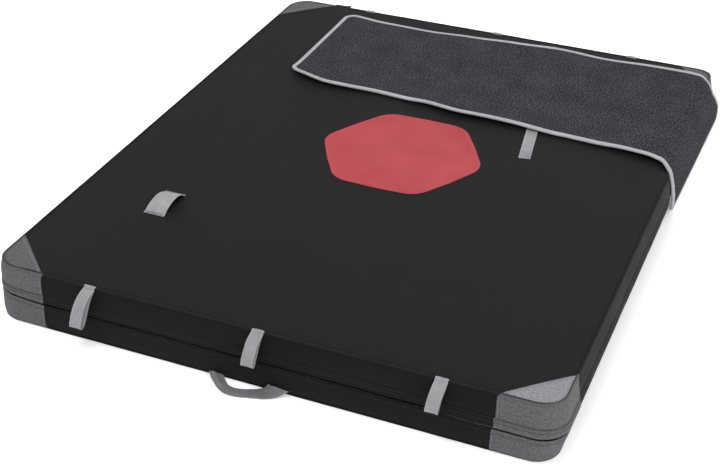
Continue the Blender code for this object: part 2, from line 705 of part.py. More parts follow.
def make_side_binding():
    """The tape folded round the flap's near, bottom and far edges on the side."""
    near, far = flap_near(FLAP_INNER_X), flap_far(FLAP_INNER_X)
    top = FLAP_UNDERSIDE - FLAP_MITRE_GAP
    foot = FLAP_GROUND_CLEARANCE
    stops = [(near, top, 1, 0, 1), (near, foot, 1, 1, 0), (far, foot, -1, 1, 0), (far, top, -1, 0, 1)]
    sections = []
    for edge, height, into_y, into_z, at_bend in stops:
        sections.append([Vector((FLAP_INNER_X + out, edge + into_y * into,
                                 height + into_z * into + at_bend * out)) for into, out in binding_fold()])
    return loft(sections)


def make_flap(side_pivot, top_pivot, rear_pivot, materials):
    """The carpet flap: carpet, backing and binding on the top and on the side, and its hem."""
    backing_low = FLAP_BINDING_THICKNESS + SEAT_GAP
    backing_high = backing_low + FLAP_BACKING_THICKNESS
    carpet_low = backing_high + SEAT_GAP
    carpet_high = carpet_low + FLAP_CARPET_THICKNESS
    inset = FLAP_BINDING_THICKNESS + SEAT_GAP
    layers = (("backing", backing_low, backing_high, materials["cover"]),
              ("carpet", carpet_low, carpet_high, materials["carpet"]))
    for name, low, high, material in layers:
        place_solid(f"flap_top_{name}", flap_layer(low, high, inset), material, top_pivot)
        place_solid(f"flap_side_{name}", flap_side_layer(low, high, inset), material, side_pivot)
    place_solid("flap_top_binding", make_top_binding(), materials["binding"], top_pivot)
    place_solid("flap_side_binding", make_side_binding(), materials["binding"], side_pivot)
    hem_inner = HALF_WIDTH + SEAT_GAP + side_standout(FLAP_HEM_HEIGHT)
    near = flap_near(FLAP_INNER_X)
    far = HALF_LENGTH - CORNER_PATCH_REACH - SEAT_GAP
    hem_outer = FLAP_INNER_X - SEAT_GAP
    corners = [(hem_inner, near), (hem_outer, near), (hem_outer, far), (hem_inner, far)]
    hem = loft([[Vector((x, y, height)) for x, y in corners]
                for height in (FLAP_GROUND_CLEARANCE, FLAP_HEM_HEIGHT)])
    place_solid("flap_hem", hem, materials["cover"], rear_pivot)


def make_handle(pivot, materials):
    """A webbing handle in the front bottom seam, lying on the ground in front of the pad."""
    root_y = handle_root_y()
    height = HANDLE_GROUND_CLEARANCE + HANDLE_THICKNESS / 2
    span = HANDLE_RIGHT_X - HANDLE_LEFT_X
    route = [(HANDLE_LEFT_X + along * span, root_y - out * HANDLE_REACH, height)
             for along, out in zip(HANDLE_ALONG_SHARES, HANDLE_OUT_SHARES)]
    route = smooth_curve(route, HANDLE_CURVE_STEPS)
    acrosses, widths = [], []
    for i in range(len(route)):
        along = route[min(i + 1, len(route) - 1)] - route[max(i - 1, 0)]
        at_root = i in (0, len(route) - 1)
        across = Vector((-along.y, along.x, 0)).normalized()
        if at_root:
            across = Vector((1 if i == 0 else -1, 0, 0))
        acrosses.append(across)
        share = share_between(HANDLE_WIDTH_SHARES, i / (len(route) - 1))
        widths.append(HANDLE_MIDDLE_WIDTH + (HANDLE_ROOT_WIDTH - HANDLE_MIDDLE_WIDTH) * share)
    webbing = ribbon(route, acrosses, widths, HANDLE_THICKNESS)
    place_solid("carry_handle", webbing, materials["webbing"], pivot)


def handle_root_y():
    """The handle's ends lie just outside the lower band at the handle's own height."""
    return -HALF_LENGTH - SEAT_GAP - side_standout(HANDLE_GROUND_CLEARANCE + HANDLE_THICKNESS)


def make_slider(pivot, materials):
    """The zip's slider, on the far side under the edge of the strip that covers the zip."""
    near = HALF_LENGTH + ZIP_CHAIN_DEPTH + SEAT_GAP
    low, high = ZIP_HEIGHT - SLIDER_HEIGHT / 2, ZIP_HEIGHT + SLIDER_HEIGHT / 2
    left, right = SLIDER_X - SLIDER_LENGTH / 2, SLIDER_X + SLIDER_LENGTH / 2
    corners = [(left, low), (right, low), (right, high), (left, high)]
    bm = loft([[Vector((x, y, z)) for x, z in corners] for y in (near, near + SLIDER_DEPTH)])
    outer = [edge for edge in bm.edges if min(vert.co.y for vert in edge.verts) > near]
    bmesh.ops.bevel(bm, geom=outer, offset=SLIDER_BEVEL, segments=1, affect="EDGES",
                    profile=0.5, material=-1)
    place_solid("zip_slider", bm, materials["plastic"], pivot)


def puller_top():
    return ZIP_HEIGHT - SLIDER_HEIGHT / 2 - SEAT_GAP


def make_puller(pivot, materials):
    """A flat puller that hangs from the slider, clear of the lower band."""
    top = puller_top()
    middle_offset = HALF_LENGTH + PULLER_THICKNESS / 2
    route = [Vector((SLIDER_X, middle_offset + PULLER_TOP_STANDOUT, top)),
             Vector((SLIDER_X, middle_offset + PULLER_FOOT_STANDOUT, top - PULLER_LENGTH))]
    plate = ribbon(route, [Vector((1, 0, 0))] * 2, [PULLER_WIDTH] * 2, PULLER_THICKNESS)
    place_solid("zip_puller", plate, materials["plastic"], pivot)


def rounded_box(centre_x, centre_y, length, width, corner, low, high):
    """A flat block with rounded corners in plan."""
    points = []
    for x_sign, y_sign, start in ((1, 1, 0), (-1, 1, 1), (-1, -1, 2), (1, -1, 3)):
        middle = Vector((centre_x + x_sign * (length / 2 - corner),
                         centre_y + y_sign * (width / 2 - corner), 0))
        for i in range(TURN_STEPS + 1):
            turn = math.pi / 2 * (start + i / TURN_STEPS)
            points.append(middle + corner * Vector((math.cos(turn), math.sin(turn), 0)))
    return loft([[point + Vector((0, 0, height)) for point in points] for height in (low, high)])


def channel_block(y, growth, low, high):
    """The space of one harness channel, grown all round."""
    length = CHANNEL_END_X - CHANNEL_START_X + 2 * growth
    middle = (CHANNEL_START_X + CHANNEL_END_X) / 2
    width = CHANNEL_WIDTH + 2 * growth
    return rounded_box(middle, y, length, width, CHANNEL_CORNER + growth, low, high)


def apply_boolean(solid, bm, operation, pivot):
    """Cuts or joins a helper solid, and leaves the result in the solid's own mesh."""
    helper = place_solid("helper", bm, solid.data.materials[0], pivot)
    modifier = solid.modifiers.new("joined", "BOOLEAN")
    modifier.operation = operation
    modifier.object = helper
    bpy.context.view_layer.update()
    joined = solid.evaluated_get(bpy.context.evaluated_depsgraph_get())
    result = bpy.data.meshes.new_from_object(joined)
    solid.modifiers.clear()
    solid.data = result
    bpy.data.objects.remove(helper, do_unlink=True)


def press_channels(bottom, base_foam, pivot):
    """Presses the harness channels into the bottom cloth, and clears the base foam above them."""
    for side in (-1, 1):
        y = HARNESS_CENTRE_Y + side * HARNESS_SPREAD / 2
        roof = CHANNEL_DEPTH + CLOTH_THICKNESS
        apply_boolean(bottom, channel_block(y, CLOTH_THICKNESS, CLOTH_THICKNESS / 2, roof), "UNION", pivot)
        apply_boolean(bottom, channel_block(y, 0, -CUT_OVERRUN, CHANNEL_DEPTH), "DIFFERENCE", pivot)
        cleared = channel_block(y, LINING, LINING - CUT_OVERRUN, CHANNEL_DEPTH + LINING)
        apply_boolean(base_foam, cleared, "DIFFERENCE", pivot)


def strap_height():
    """The middle height of what lies in a channel, just under the channel's roof."""
    return CHANNEL_DEPTH - SEAT_GAP - STRAP_THICKNESS / 2


def make_shoulder_strap(name, y, pivot, materials):
    """A padded strap, widest in the middle and narrow at its buckle."""
    start = CHANNEL_START_X + SEAT_GAP
    half_thickness = STRAP_THICKNESS / 2
    flat = half_thickness - STRAP_EDGE_ROUND
    sections = []
    for along, share in zip(STRAP_ALONG_SHARES, STRAP_WIDTH_SHARES):
        edge = (STRAP_TIP_WIDTH + (STRAP_WIDTH - STRAP_TIP_WIDTH) * share) / 2
        inner = edge - STRAP_EDGE_ROUND
        outline = [(-inner, -half_thickness), (inner, -half_thickness), (edge, -flat), (edge, flat),
                   (inner, half_thickness), (-inner, half_thickness), (-edge, flat), (-edge, -flat)]
        sections.append([Vector((start + along * STRAP_LENGTH, y + across, strap_height() + rise))
                         for across, rise in outline])
    place_solid(f"{name}_shoulder_strap", loft(sections), materials["cover"], pivot)
    return start + STRAP_LENGTH


def make_buckle(name, x, y, pivot, materials):
    """A ladder-lock frame with two slots, at the tip of a shoulder strap."""
    low = strap_height() - BUCKLE_THICKNESS / 2
    high = strap_height() + BUCKLE_THICKNESS / 2
    middle = x + SEAT_GAP + BUCKLE_LENGTH / 2
    frame = rounded_box(middle, y, BUCKLE_LENGTH, BUCKLE_WIDTH, BUCKLE_CORNER, low, high)
    solid = place_solid(f"{name}_strap_buckle", frame, materials["plastic"], pivot)
    for side in (-1, 1):
        slot_x = middle + side * (BUCKLE_LENGTH / 2 - BUCKLE_BAR - BUCKLE_SLOT_LENGTH / 2)
        slot = rounded_box(slot_x, y, BUCKLE_SLOT_LENGTH, BUCKLE_WIDTH - 2 * BUCKLE_SIDE,
                           BUCKLE_SLOT_CORNER, low - CUT_OVERRUN, high + CUT_OVERRUN)
        apply_boolean(solid, slot, "DIFFERENCE", pivot)
    return middle + BUCKLE_LENGTH / 2


def make_strap_webbing(name, buckle_end, y, pivot, materials):
    """Webbing from the channel's end, round the buckle's outer bar and back as a tail."""
    wrap = SEAT_GAP + STRAP_WEBBING_THICKNESS / 2
    middle = strap_height()
    bar_x = buckle_end - BUCKLE_BAR
    ends = {1: CHANNEL_END_X - SEAT_GAP, -1: buckle_end + STRAP_TAIL_LENGTH}
    strands = {}
    for side, end_x in ends.items():
        bar_edge = middle + side * BUCKLE_THICKNESS / 2
        strands[side] = [Vector((x, y, bar_edge + side * wrap)) for x in (end_x, buckle_end)]
        for i in range(TURN_STEPS + 1):
            turn = math.pi / 2 * i / TURN_STEPS
            round_bar = bar_edge + side * wrap * math.cos(turn)
            strands[side].append(Vector((bar_x - wrap * math.sin(turn), y, round_bar)))
    route = strands[1] + strands[-1][::-1]
    across = [Vector((0, 1, 0))] * len(route)
    webbing = ribbon(route, across, [STRAP_WEBBING_WIDTH] * len(route), STRAP_WEBBING_THICKNESS)
    place_solid(f"{name}_strap_webbing", webbing, materials["black_webbing"], pivot)


def make_harness(pivot, materials):
    for side in (-1, 1):
        y = HARNESS_CENTRE_Y + side * HARNESS_SPREAD / 2
        name = {-1: "near", 1: "far"}[side]
        tip = make_shoulder_strap(name, y, pivot, materials)
        buckle_end = make_buckle(name, tip, y, pivot, materials)
        make_strap_webbing(name, buckle_end, y, pivot, materials)


def make_half(end, pivot, materials):
    """Everything that both halves have alike."""
    bottom = make_cover(end, pivot, materials)
    base_foam = make_foam(end, pivot, materials)
    for side in (-1, 1):
        make_corner(side, end, pivot, materials)
    for position, place in (("left", -1), ("middle", 0), ("right", 1)):
        make_hanging_loop(position, place * HANGING_LOOP_SPACING, end, pivot, materials)
    return bottom, base_foam


def main():
    clear_scene()
    materials = make_materials()
    front = make_pivot("front_half", (0, 0, 0))
    rear = make_pivot("rear_half", (0, 0, FOLD_AXIS_HEIGHT), front)
    flap_side = make_pivot("flap_side", (FLAP_OUTER_X, 0, FLAP_GROUND_CLEARANCE), rear)
    flap_top = make_pivot("flap_top", (FLAP_OUTER_X, 0, FLAP_TOP), flap_side)
    handle_top = HANDLE_GROUND_CLEARANCE + HANDLE_THICKNESS
    handle = make_pivot("handle", (0, handle_root_y(), handle_top), front)
    slider = make_pivot("slider", (SLIDER_X, HALF_LENGTH, ZIP_HEIGHT), rear)
    puller_y = HALF_LENGTH + PULLER_TOP_STANDOUT
    puller = make_pivot("puller", (SLIDER_X, puller_y, puller_top()), slider)

    make_half(FRONT, front, materials)
    bottom, base_foam = make_half(REAR, rear, materials)
    press_channels(bottom, base_foam, rear)
    make_grab_loop(front, materials)
    make_top_tab(rear, materials)
    make_seam_tab(rear, materials)
    make_flap(flap_side, flap_top, rear, materials)
    make_handle(handle, materials)
    make_slider(slider, materials)
    make_puller(puller, materials)
    make_harness(rear, materials)


main()
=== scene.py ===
"""A bouldering crash pad laid open: its cloths, webbing, zip, carpet flap and harness.

Sizes are in metres. X runs along the front edge, Y from the front edge to the far one, Z points up.
Round the pad's side, s is the distance from the fold's right end and h is the height. On the flat cut
of the carpet flap, p runs from its left end and q from its near edge.
"""

import math

import bmesh
import bpy
from mathutils import Matrix, Vector, noise


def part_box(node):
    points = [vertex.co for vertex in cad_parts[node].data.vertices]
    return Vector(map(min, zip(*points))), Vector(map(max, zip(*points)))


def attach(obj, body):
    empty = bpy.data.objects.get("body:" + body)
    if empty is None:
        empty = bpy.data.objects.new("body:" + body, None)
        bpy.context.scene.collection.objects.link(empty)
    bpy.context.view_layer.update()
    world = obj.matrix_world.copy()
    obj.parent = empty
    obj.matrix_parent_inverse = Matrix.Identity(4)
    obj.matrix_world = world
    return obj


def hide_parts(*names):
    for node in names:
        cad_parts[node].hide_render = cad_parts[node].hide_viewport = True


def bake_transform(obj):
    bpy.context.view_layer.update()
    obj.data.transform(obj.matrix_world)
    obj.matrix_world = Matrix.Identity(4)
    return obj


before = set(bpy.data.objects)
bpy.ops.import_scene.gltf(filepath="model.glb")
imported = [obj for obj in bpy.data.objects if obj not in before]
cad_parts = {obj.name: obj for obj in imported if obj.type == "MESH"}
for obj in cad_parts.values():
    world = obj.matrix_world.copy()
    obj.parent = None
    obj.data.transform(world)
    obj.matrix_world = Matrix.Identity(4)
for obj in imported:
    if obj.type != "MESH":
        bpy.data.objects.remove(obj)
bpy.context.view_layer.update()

# Sizes of the cover
HALF_WIDTH = 0.585
HALF_LENGTH = 0.725
CORNER_RADIUS = 0.05
STRAIGHT_X = HALF_WIDTH - CORNER_RADIUS
STRAIGHT_Y = HALF_LENGTH - CORNER_RADIUS
CORNER_ARC = math.pi / 2 * CORNER_RADIUS
ROUND = 4 * (STRAIGHT_X + STRAIGHT_Y + CORNER_ARC)
SEAM_HEIGHT = 0.1283
TOP_CROWN = 0.0017
SEAM_INSET = 0.0048
CROWN_BORDER = 0.045
TOP_PLANE = SEAM_HEIGHT + TOP_CROWN
LOWER_FOOT = 0.0018
UPPER_TOP = 0.1272
ZIP_LOW = 0.048
ZIP_HIGH = 0.062
ZIP_LINE = 0.055
LOWER_LIP = 0.0509
STRIP_TOP = 0.0800
STRIP_FOOT = 0.0570
# Heights of the mesh rows on the strip, and of those where the lower band turns in
STRIP_ROWS = (0.059, 0.062, 0.066, 0.070, 0.0745, 0.0775, 0.0788, 0.0796)
TURNED_IN_ROWS = (0.0518, 0.0521, 0.0525, 0.0530, 0.0537, 0.0545)
# Heights of the rows of stitches on the strip and the lower band
STRIP_SEAMS = (STRIP_TOP - 0.0018, STRIP_TOP - 0.0112)
LOWER_SEAM = 0.0435
# Heights in metres, and how far each side stands out there, in millimetres
SIDE_HEIGHTS = (0.0, 0.013, 0.027, 0.042, 0.0515, 0.056, 0.066, 0.077, 0.095, 0.112, 0.1283)
SIDE_STANDOUTS = {
    "right": (-4.5, -1.5, 2.5, 6.5, 9.0, 9.3, 9.2, 8.4, 6.5, 3.5, 0.3),
    "left": (0.0, 4.5, 6.5, 7.5, 7.6, 7.8, 8.0, 8.0, 8.5, 8.0, 6.1),
    "front": (0.0, 3.5, 4.0, 2.5, 0.7, 1.0, 1.0, 1.5, 2.0, 0.5, -3.0),
    "loose_front": (0.0, 4.5, 6.0, 5.5, 4.2, 4.5, 4.5, 4.0, 3.5, 1.0, -3.0),
    "rear": (0.0, 5.6, 7.2, 3.6, -1.0, 7.8, 7.8, 7.0, 8.0, 8.0, 6.5),
    "near_left": (12.0, 11.0, 9.5, 8.5, 8.0, 7.5, 6.5, 5.5, 3.3, 2.5, 0.0)}
NEAR_LEFT = (-0.581, -0.694)
NEAR_LEFT_REACH = 0.075
UNDER_FLAP_Y = (0.150, 0.716)
CLOTH = 0.0012
STRIP_CLOTH = 0.0009
TAPE_CLOTH = 0.0010
PATCH_CLOTH = 0.0008
SIDE_PATCH_CLOTH = 0.0007
FOAM_INSET = 0.008
PATCH_REACH = 0.110
PATCH_SPAN = CORNER_ARC / 2 + PATCH_REACH - CORNER_RADIUS
PATCH_CUT_DEPTH = 0.0518
PATCH_RISE = 0.0011
SIDE_PATCH_RISE = 0.0010
CORNERS = {"rear_right": STRAIGHT_Y + CORNER_ARC / 2}
CORNERS["rear_left"] = CORNERS["rear_right"] + CORNER_ARC + 2 * STRAIGHT_X
CORNERS["front_left"] = CORNERS["rear_left"] + CORNER_ARC + 2 * STRAIGHT_Y
CORNERS["front_right"] = CORNERS["front_left"] + CORNER_ARC + 2 * STRAIGHT_X
# How much further than the rest some corner patches run, along the front or far edge and along the side
LONGER_FRONT = {"front_right": {"top": 0.008, "upper": 0.006, "zip": 0.009, "lower": 0.012},
                "front_left": {"top": 0.004},
                "rear_right": {"top": -0.020}}
LONGER_SIDE = {"front_right": {"zip": 0.004, "lower": 0.014},
               "rear_right": {"upper": -0.020, "zip": -0.020, "lower": -0.020}}
# Steps of the cover's meshes, and their rows measured in from an edge
AROUND_STEP = 0.0085
TOP_STEP_X = 0.0115
TOP_STEP_Y = 0.0095
UPPER_STEP = 0.0053
LOWER_STEP = 0.0049
PATCH_STEP = 0.0055
BORDER_ROWS = (0, 0.0020, 0.0036, 0.0048, 0.0060, 0.0080, 0.0120, 0.018, 0.028, 0.042)

# Stitches: how far apart they are, and how wide their thread is
BAND_PITCH = 0.0050
TOP_SEAM_PITCH = 0.0056
CORNER_SEAM_PITCH = 0.0046
CORNER_ROW_PITCH = 0.0056
FINE_ROW_PITCH = 0.0052
PATCH_PITCH = 0.0044
MARK_PITCH = 0.0042
BINDING_PITCH = 0.0042
TAB_PITCH = 0.0032
LOOP_PITCH = 0.0030
THREAD = 0.0008
# The top seam's black thread is drawn wide: real stitches, and painted shade of the crease that they lie in
TOP_SEAM_THREAD_AND_SHADE = 0.0022
# On the grey corners the black seam thread is wider still: real stitches, and painted shade of the deep
# crease beside the seam
CORNER_SEAM_THREADS_AND_SHADE = {"left": 0.0036, "right": 0.0030}
CORNER_ROW_THREAD = 0.0015
FINE_ROW_THREAD = 0.0010

# Sizes of the landing mark
MARK_Y = 0.02
MARK_SIZE = 0.372
MARK_CORNER = 0.060
MARK_CLOTH = 0.0007
MARK_RISE = 0.0010
MARK_FLAT_REACH = MARK_SIZE / 2 - MARK_CORNER

# Sizes of the webbing
LOOP_X = 0.365
LOOP_WIDTH = 0.025
LOOP_DROPS = {"left": 0.0865, "middle": 0.071, "right": 0.0645}
LOOP_SLANTS = {"left": 0.024, "middle": 0.014, "right": 0.011}
LOOP_STANDOUTS = {"left": 0.034, "middle": 0.027, "right": 0.024}
LOOP_INNER_STANDOUT = 0.034
FLATTER_LOOPS = {"rear_middle": 0.6, "rear_right": 0.6}
LOOP_SEAM = 0.127
WEBBING = 0.0018
# The loops' shape, as shares of their standout and their drop
LOOP_OUT = (0.21, 0.31, 0.34, 0.38, 0.60, 0.91, 1.0, 0.93, 0.66, 0.26, 0.0)
LOOP_DOWN = (0.13, 0.31, 0.56, 0.82, 0.97, 0.88, 0.64, 0.38, 0.15, 0.035, 0.018)
GRAB_LOOP_PLACE = (-0.385, -0.390)
GRAB_LOOP_WIDTH = 0.048
GRAB_LOOP_LENGTH = 0.096
GRAB_LOOP_RISE = 0.0125
TOP_TAB_ENDS = ((0.2655, 0.105, 0), (0.2405, 0.262, 0))
TOP_TAB_WIDTH = 0.027
SEAM_TAB_X = -0.452
SEAM_TAB_WIDTH = 0.044
SEAM_TAB_THICKNESS = 0.003
HANDLE_WIDTH = 0.040
# The handle's route and how wide it lies there: x, y, z and width
HANDLE_POINTS = ((-0.0900, -0.7310, 0.0100, 0.031), (-0.0775, -0.7420, 0.0040, 0.023),
                 (-0.0640, -0.7535, 0.0022, 0.0225), (-0.0490, -0.7605, 0.0022, 0.0235),
                 (-0.0310, -0.7605, 0.0022, 0.024), (-0.0150, -0.7562, 0.0022, 0.0245),
                 (0.0020, -0.7503, 0.0022, 0.027), (0.0180, -0.7440, 0.0028, 0.031),
                 (0.0330, -0.7372, 0.0068, 0.036), (0.0440, -0.7318, 0.0150, 0.043))

# Sizes of the carpet flap
FLAP_LEFT_X = -0.412
FLAP_BEND_X = 0.552
FLAP_WIDTH = 0.427
FLAP_NEAR_Y = 0.255
FLAP_FAR_Y = 0.682
FLAP_REST = 0.1313
FLAP_LEFT_CORNER = 0.035
FLAP_RIGHT_CORNER = 0.014
FLAP_WAVINESS = 0.050
# How far the flap's border lifts off the top, and the wave that it lifts in
BORDER_LIFT = 0.0078
FAR_BORDER_SHARE = 0.35
BORDER_REACH = 0.080
WAVE_LENGTH = 0.465
WAVE_CREST_X = 0.09
# How far each edge of the flap wanders on the top, as shares, and down the side, in metres
FLAP_NEAR_WAVES = (0.68, 0.12, 0.26, 0.07, -0.35, -0.32, -0.49, -0.67, -0.95)
FLAP_FAR_WAVES = (-0.21, -0.45, -0.45, -0.25, -0.11, 0.15, -0.03, 0.09, 0.04)
FLAP_NEAR_HANG = (0.0, -0.018, -0.024, -0.020, -0.008, 0.004, 0.012)
FLAP_FAR_HANG = (0.0, -0.015, -0.010, 0.005, 0.020, 0.028, 0.030)
FLAP_PROFILE = ((0.552, 0.1313), (0.5630, 0.1298), (0.5733, 0.1236), (0.5805, 0.1122), (0.5855, 0.0960),
                (0.5885, 0.0780), (0.5900, 0.0560), (0.5900, 0.0340), (0.5886, 0.0140), (0.5870, 0.0016))
# Heights over the flap's underside
BACKING_OVER = 0.0025
CARPET_UNDER = 0.0028
CARPET_OVER = 0.0063
BACKING_CLOTH = 0.0010
BINDING_WIDTH = 0.0115
BINDING_TAPE = 0.0008
HEM_ENDS = (0.2360, 0.612)
HEM_X = 0.5902

# Sizes of the underside and the harness
CHANNEL_DEPTH = 0.0105
CHANNEL_X = (-0.300, 0.340)
CHANNEL_HALF_WIDTH = 0.042
CHANNEL_CORNER = 0.020
STRAP_ROWS = {"near": 0.2525, "far": 0.4725}
STRAP_LEVEL = 0.0057
STRAP_START = CHANNEL_X[0] + 0.0003
STRAP_LENGTH = 0.400
STRAP_HALF_THICKNESS = 0.0044
STRAP_TAPE_WIDTH = 0.025
STRAP_TAPE = 0.0014
BUCKLE_GAP = 0.0003
BUCKLE_LENGTH = 0.036
BUCKLE_BAR_BACK = 0.0055
BUCKLE_BAR_HALF = 0.0015
TAPE_TAIL = 0.070

UP = Vector((0, 0, 1))
LEFTWARDS = Vector((-1, 0, 0))


def eased(share):
    """A smooth step from 0 to 1."""
    share = min(max(share, 0), 1)
    return share * share * (3 - 2 * share)


def ripple(x, y, z, seed=0):
    """Smooth, repeatable waves between about -1 and 1."""
    return noise.noise(Vector((x + 31.7 * seed, y - 12.9 * seed, z + 7.3 * seed)))


def even(low, high, step):
    """Places from low to high, about a step apart."""
    count = max(round((high - low) / step), 1)
    return [low + (high - low) * i / count for i in range(count + 1)]


def full_turn(steps):
    """Angles once round, in even steps."""
    return even(0, 2 * math.pi, 2 * math.pi / steps)


def bordered(reach, step):
    """Places from -reach to reach, close together by both edges."""
    middle = even(-reach + BORDER_ROWS[-1], reach - BORDER_ROWS[-1], step)
    return ([-reach + row for row in BORDER_ROWS[:-1]] + middle
            + [reach - row for row in BORDER_ROWS[-2::-1]])


def smooth_curve(points, steps):
    """Points on a curve through the given ones, with the ends kept."""
    points = [Vector(point) for point in points]
    padded = [2 * points[0] - points[1]] + points + [2 * points[-1] - points[-2]]
    curve = []
    for a, b, c, d in zip(padded, padded[1:], padded[2:], padded[3:]):
        for i in range(steps):
            t = i / steps
            curve.append((2 * b + (c - a) * t + (2 * a - 5 * b + 4 * c - d) * t**2
                          + (3 * b - a - 3 * c + d) * t**3) / 2)
    return curve + [points[-1]]


def run_lengths(points):
    """How far along a line each of its points lies."""
    runs = [0.0]
    for a, b in zip(points, points[1:]):
        runs.append(runs[-1] + (b - a).length)
    return runs


def wave_between(shares, position):
    """Reads a row of shares at a position from 0 to 1, on a smooth curve between them."""
    place = min(max(position, 0), 1) * (len(shares) - 1)
    i = min(int(place), len(shares) - 2)
    return shares[i] + (shares[i + 1] - shares[i]) * eased(place - i)


# Finishes

def paint(red, green, blue):
    """A colour as it looks on screen, from 0 to 255, as the light it sends back."""
    shares = [level / 255 for level in (red, green, blue)]
    return tuple(s / 12.92 if s <= 0.04045 else ((s + 0.055) / 1.055) ** 2.4 for s in shares) + (1.0,)


class Wire:
    """A socket of a finish. Arithmetic on it adds the nodes that work it out."""

    def __init__(self, finish, socket):
        self.finish = finish
        self.socket = socket

    def through(self, operation, *values):
        return self.finish.node("ShaderNodeMath", {"operation": operation}, dict(enumerate(values)))

    def __add__(self, other):
        return self.through("ADD", self, other)

    def __sub__(self, other):
        return self.through("SUBTRACT", self, other)

    def __rsub__(self, other):
        return self.through("SUBTRACT", other, self)

    def __mul__(self, other):
        return self.through("MULTIPLY", self, other)

    __radd__ = __add__
    __rmul__ = __mul__

    def sine(self):
        return self.through("SINE", self)

    def size(self):
        return self.through("ABSOLUTE", self)

    def clipped(self):
        return self.finish.node("ShaderNodeClamp", {}, {"Value": self})


class Finish:
    """One material, built from nodes."""

    def __init__(self, name, roughness, **fixed):
        self.material = bpy.data.materials.new(name)
        self.material.use_nodes = True
        self.tree = self.material.node_tree
        self.shader = self.tree.nodes["Principled BSDF"]
        self.shader.inputs["Roughness"].default_value = roughness
        for socket, value in fixed.items():
            self.shader.inputs[socket.replace("_", " ")].default_value = value

    def node(self, kind, settings=None, values=None, output=None):
        """Adds a node: its type, its settings, and the values or links of its sockets."""
        node = self.tree.nodes.new(kind)
        for setting, value in (settings or {}).items():
            if setting == "stops":
                for place, colour in value[2:]:
                    node.color_ramp.elements.new(place).color = colour
                for stop, (place, colour) in zip(node.color_ramp.elements, sorted(value)):
                    stop.position, stop.color = place, colour
            else:
                setattr(node, setting, value)
        for name, value in (values or {}).items():
            socket = node.inputs[name] if isinstance(name, int) else next(
                item for item in node.inputs if item.name == name and item.enabled)
            if isinstance(value, Wire):
                self.tree.links.new(value.socket, socket)
            else:
                socket.default_value = value
        found = [item for item in node.outputs if item.enabled and output in (None, item.name)]
        return Wire(self, found[0])

    def parts(self, vector):
        apart = self.node("ShaderNodeSeparateXYZ", {}, {"Vector": vector}).socket.node
        return [Wire(self, socket) for socket in apart.outputs]

    def cut(self):
        """Where a point lies on the flat cut of its piece, in metres."""
        return self.node("ShaderNodeUVMap", {"uv_map": "cut"})

    def place(self):
        return self.node("ShaderNodeTexCoord", {}, {}, "Object")

    def blotches(self, vector, scale, detail=2.0, roughness=0.5):
        return self.node("ShaderNodeTexNoise", {}, {"Vector": vector, "Scale": scale, "Detail": detail,
                                                    "Roughness": roughness}, "Fac")

    def mixed(self, share, first, second):
        return self.node("ShaderNodeMix", {"data_type": "RGBA"}, {"Factor": share, "A": first, "B": second},
                         "Result")

    def span(self, value, low, high, to_low=0.0, to_high=1.0):
        return self.node("ShaderNodeMapRange", {}, {"Value": value, "From Min": low, "From Max": high,
                                                    "To Min": to_low, "To Max": to_high})

    def stretched(self, vector, scale):
        return self.node("ShaderNodeMapping", {}, {"Vector": vector, "Scale": scale})

    def woven(self, u, v, pitch):
        """Height of a plain weave: each thread rises over its neighbour, then dips under the next."""
        warp, weft = (u * (math.pi / pitch)).sine(), (v * (math.pi / pitch)).sine()
        on_top = (warp * weft * 3 + 0.5).clipped()
        return weft.size() * on_top + warp.size() * (1 - on_top)

    def dress(self, colour=None, roughness=None, height=None, depth=0.0003, strength=1.0):
        wires = {"Base Color": colour, "Roughness": roughness}
        if height is not None:
            wires["Normal"] = self.node("ShaderNodeBump", {}, {"Height": height, "Distance": depth,
                                                               "Strength": strength})
        for socket, wire in wires.items():
            if wire is not None:
                self.tree.links.new(wire.socket, self.shader.inputs[socket])
        return self.material


def woven_cloth(name, colour, faded, pitch, roughness, depth, shine=0.065, mottle=0.25):
    """Woven cloth with uneven threads, a little dust and fine creases."""
    finish = Finish(name, roughness, Specular_IOR_Level=shine)
    cut = finish.cut()
    u, v, _ = finish.parts(cut)
    weave = finish.woven(u, v, pitch)
    slubs = finish.blotches(finish.stretched(cut, (1.0, 9.0, 1.0)), 60, 3)
    dust = finish.blotches(cut, 5, 4, 0.6)
    creases = finish.blotches(cut, 38, 3, 0.55)
    specks = finish.blotches(cut, 210, 2, 0.8)
    share = (weave * 0.20 + finish.span(slubs, 0.3, 0.7) * 0.2 + finish.span(specks, 0.40, 0.60) * mottle
             + finish.span(dust, 0.35, 0.7) * (0.6 - mottle))
    tone = finish.mixed(share, colour, faded)
    rough = finish.span(dust, 0.3, 0.7, roughness - 0.06, roughness + 0.08)
    return finish.dress(tone, rough, weave * 0.5 + slubs * 0.15 + specks * 0.5 + creases * 1.1, depth)


def webbing_tape(name, colour, shade, roughness, width):
    """Heavy webbing: a fine herringbone of cords, with firmer edges."""
    finish = Finish(name, roughness, Sheen_Weight=0.05, Specular_IOR_Level=0.2)
    cut = finish.cut()
    u, v, _ = finish.parts(cut)
    zigzag_pitch, zigzag_depth, rib_pitch, cord_pitch = 0.0032, 0.0012, 0.0017, 0.0016
    zigzag = (v * (math.pi / zigzag_pitch)).sine().size() * zigzag_depth
    ribs = ((u + zigzag) * (2 * math.pi / rib_pitch)).sine() * 0.5 + 0.5
    cords = (v * (2 * math.pi / cord_pitch)).sine() * 0.5 + 0.5
    wear = finish.blotches(cut, 40, 4, 0.6)
    edge = finish.span(v.size(), width / 2 - 0.0022, width / 2 - 0.0012)
    share = ribs * 0.35 + cords * 0.2 + finish.span(wear, 0.3, 0.7) * 0.3 + edge * 0.25
    tone = finish.mixed(share, shade, colour)
    return finish.dress(tone, None, ribs * 0.5 + cords * 0.5 + edge * 0.6 + wear * 0.3, 0.00045)


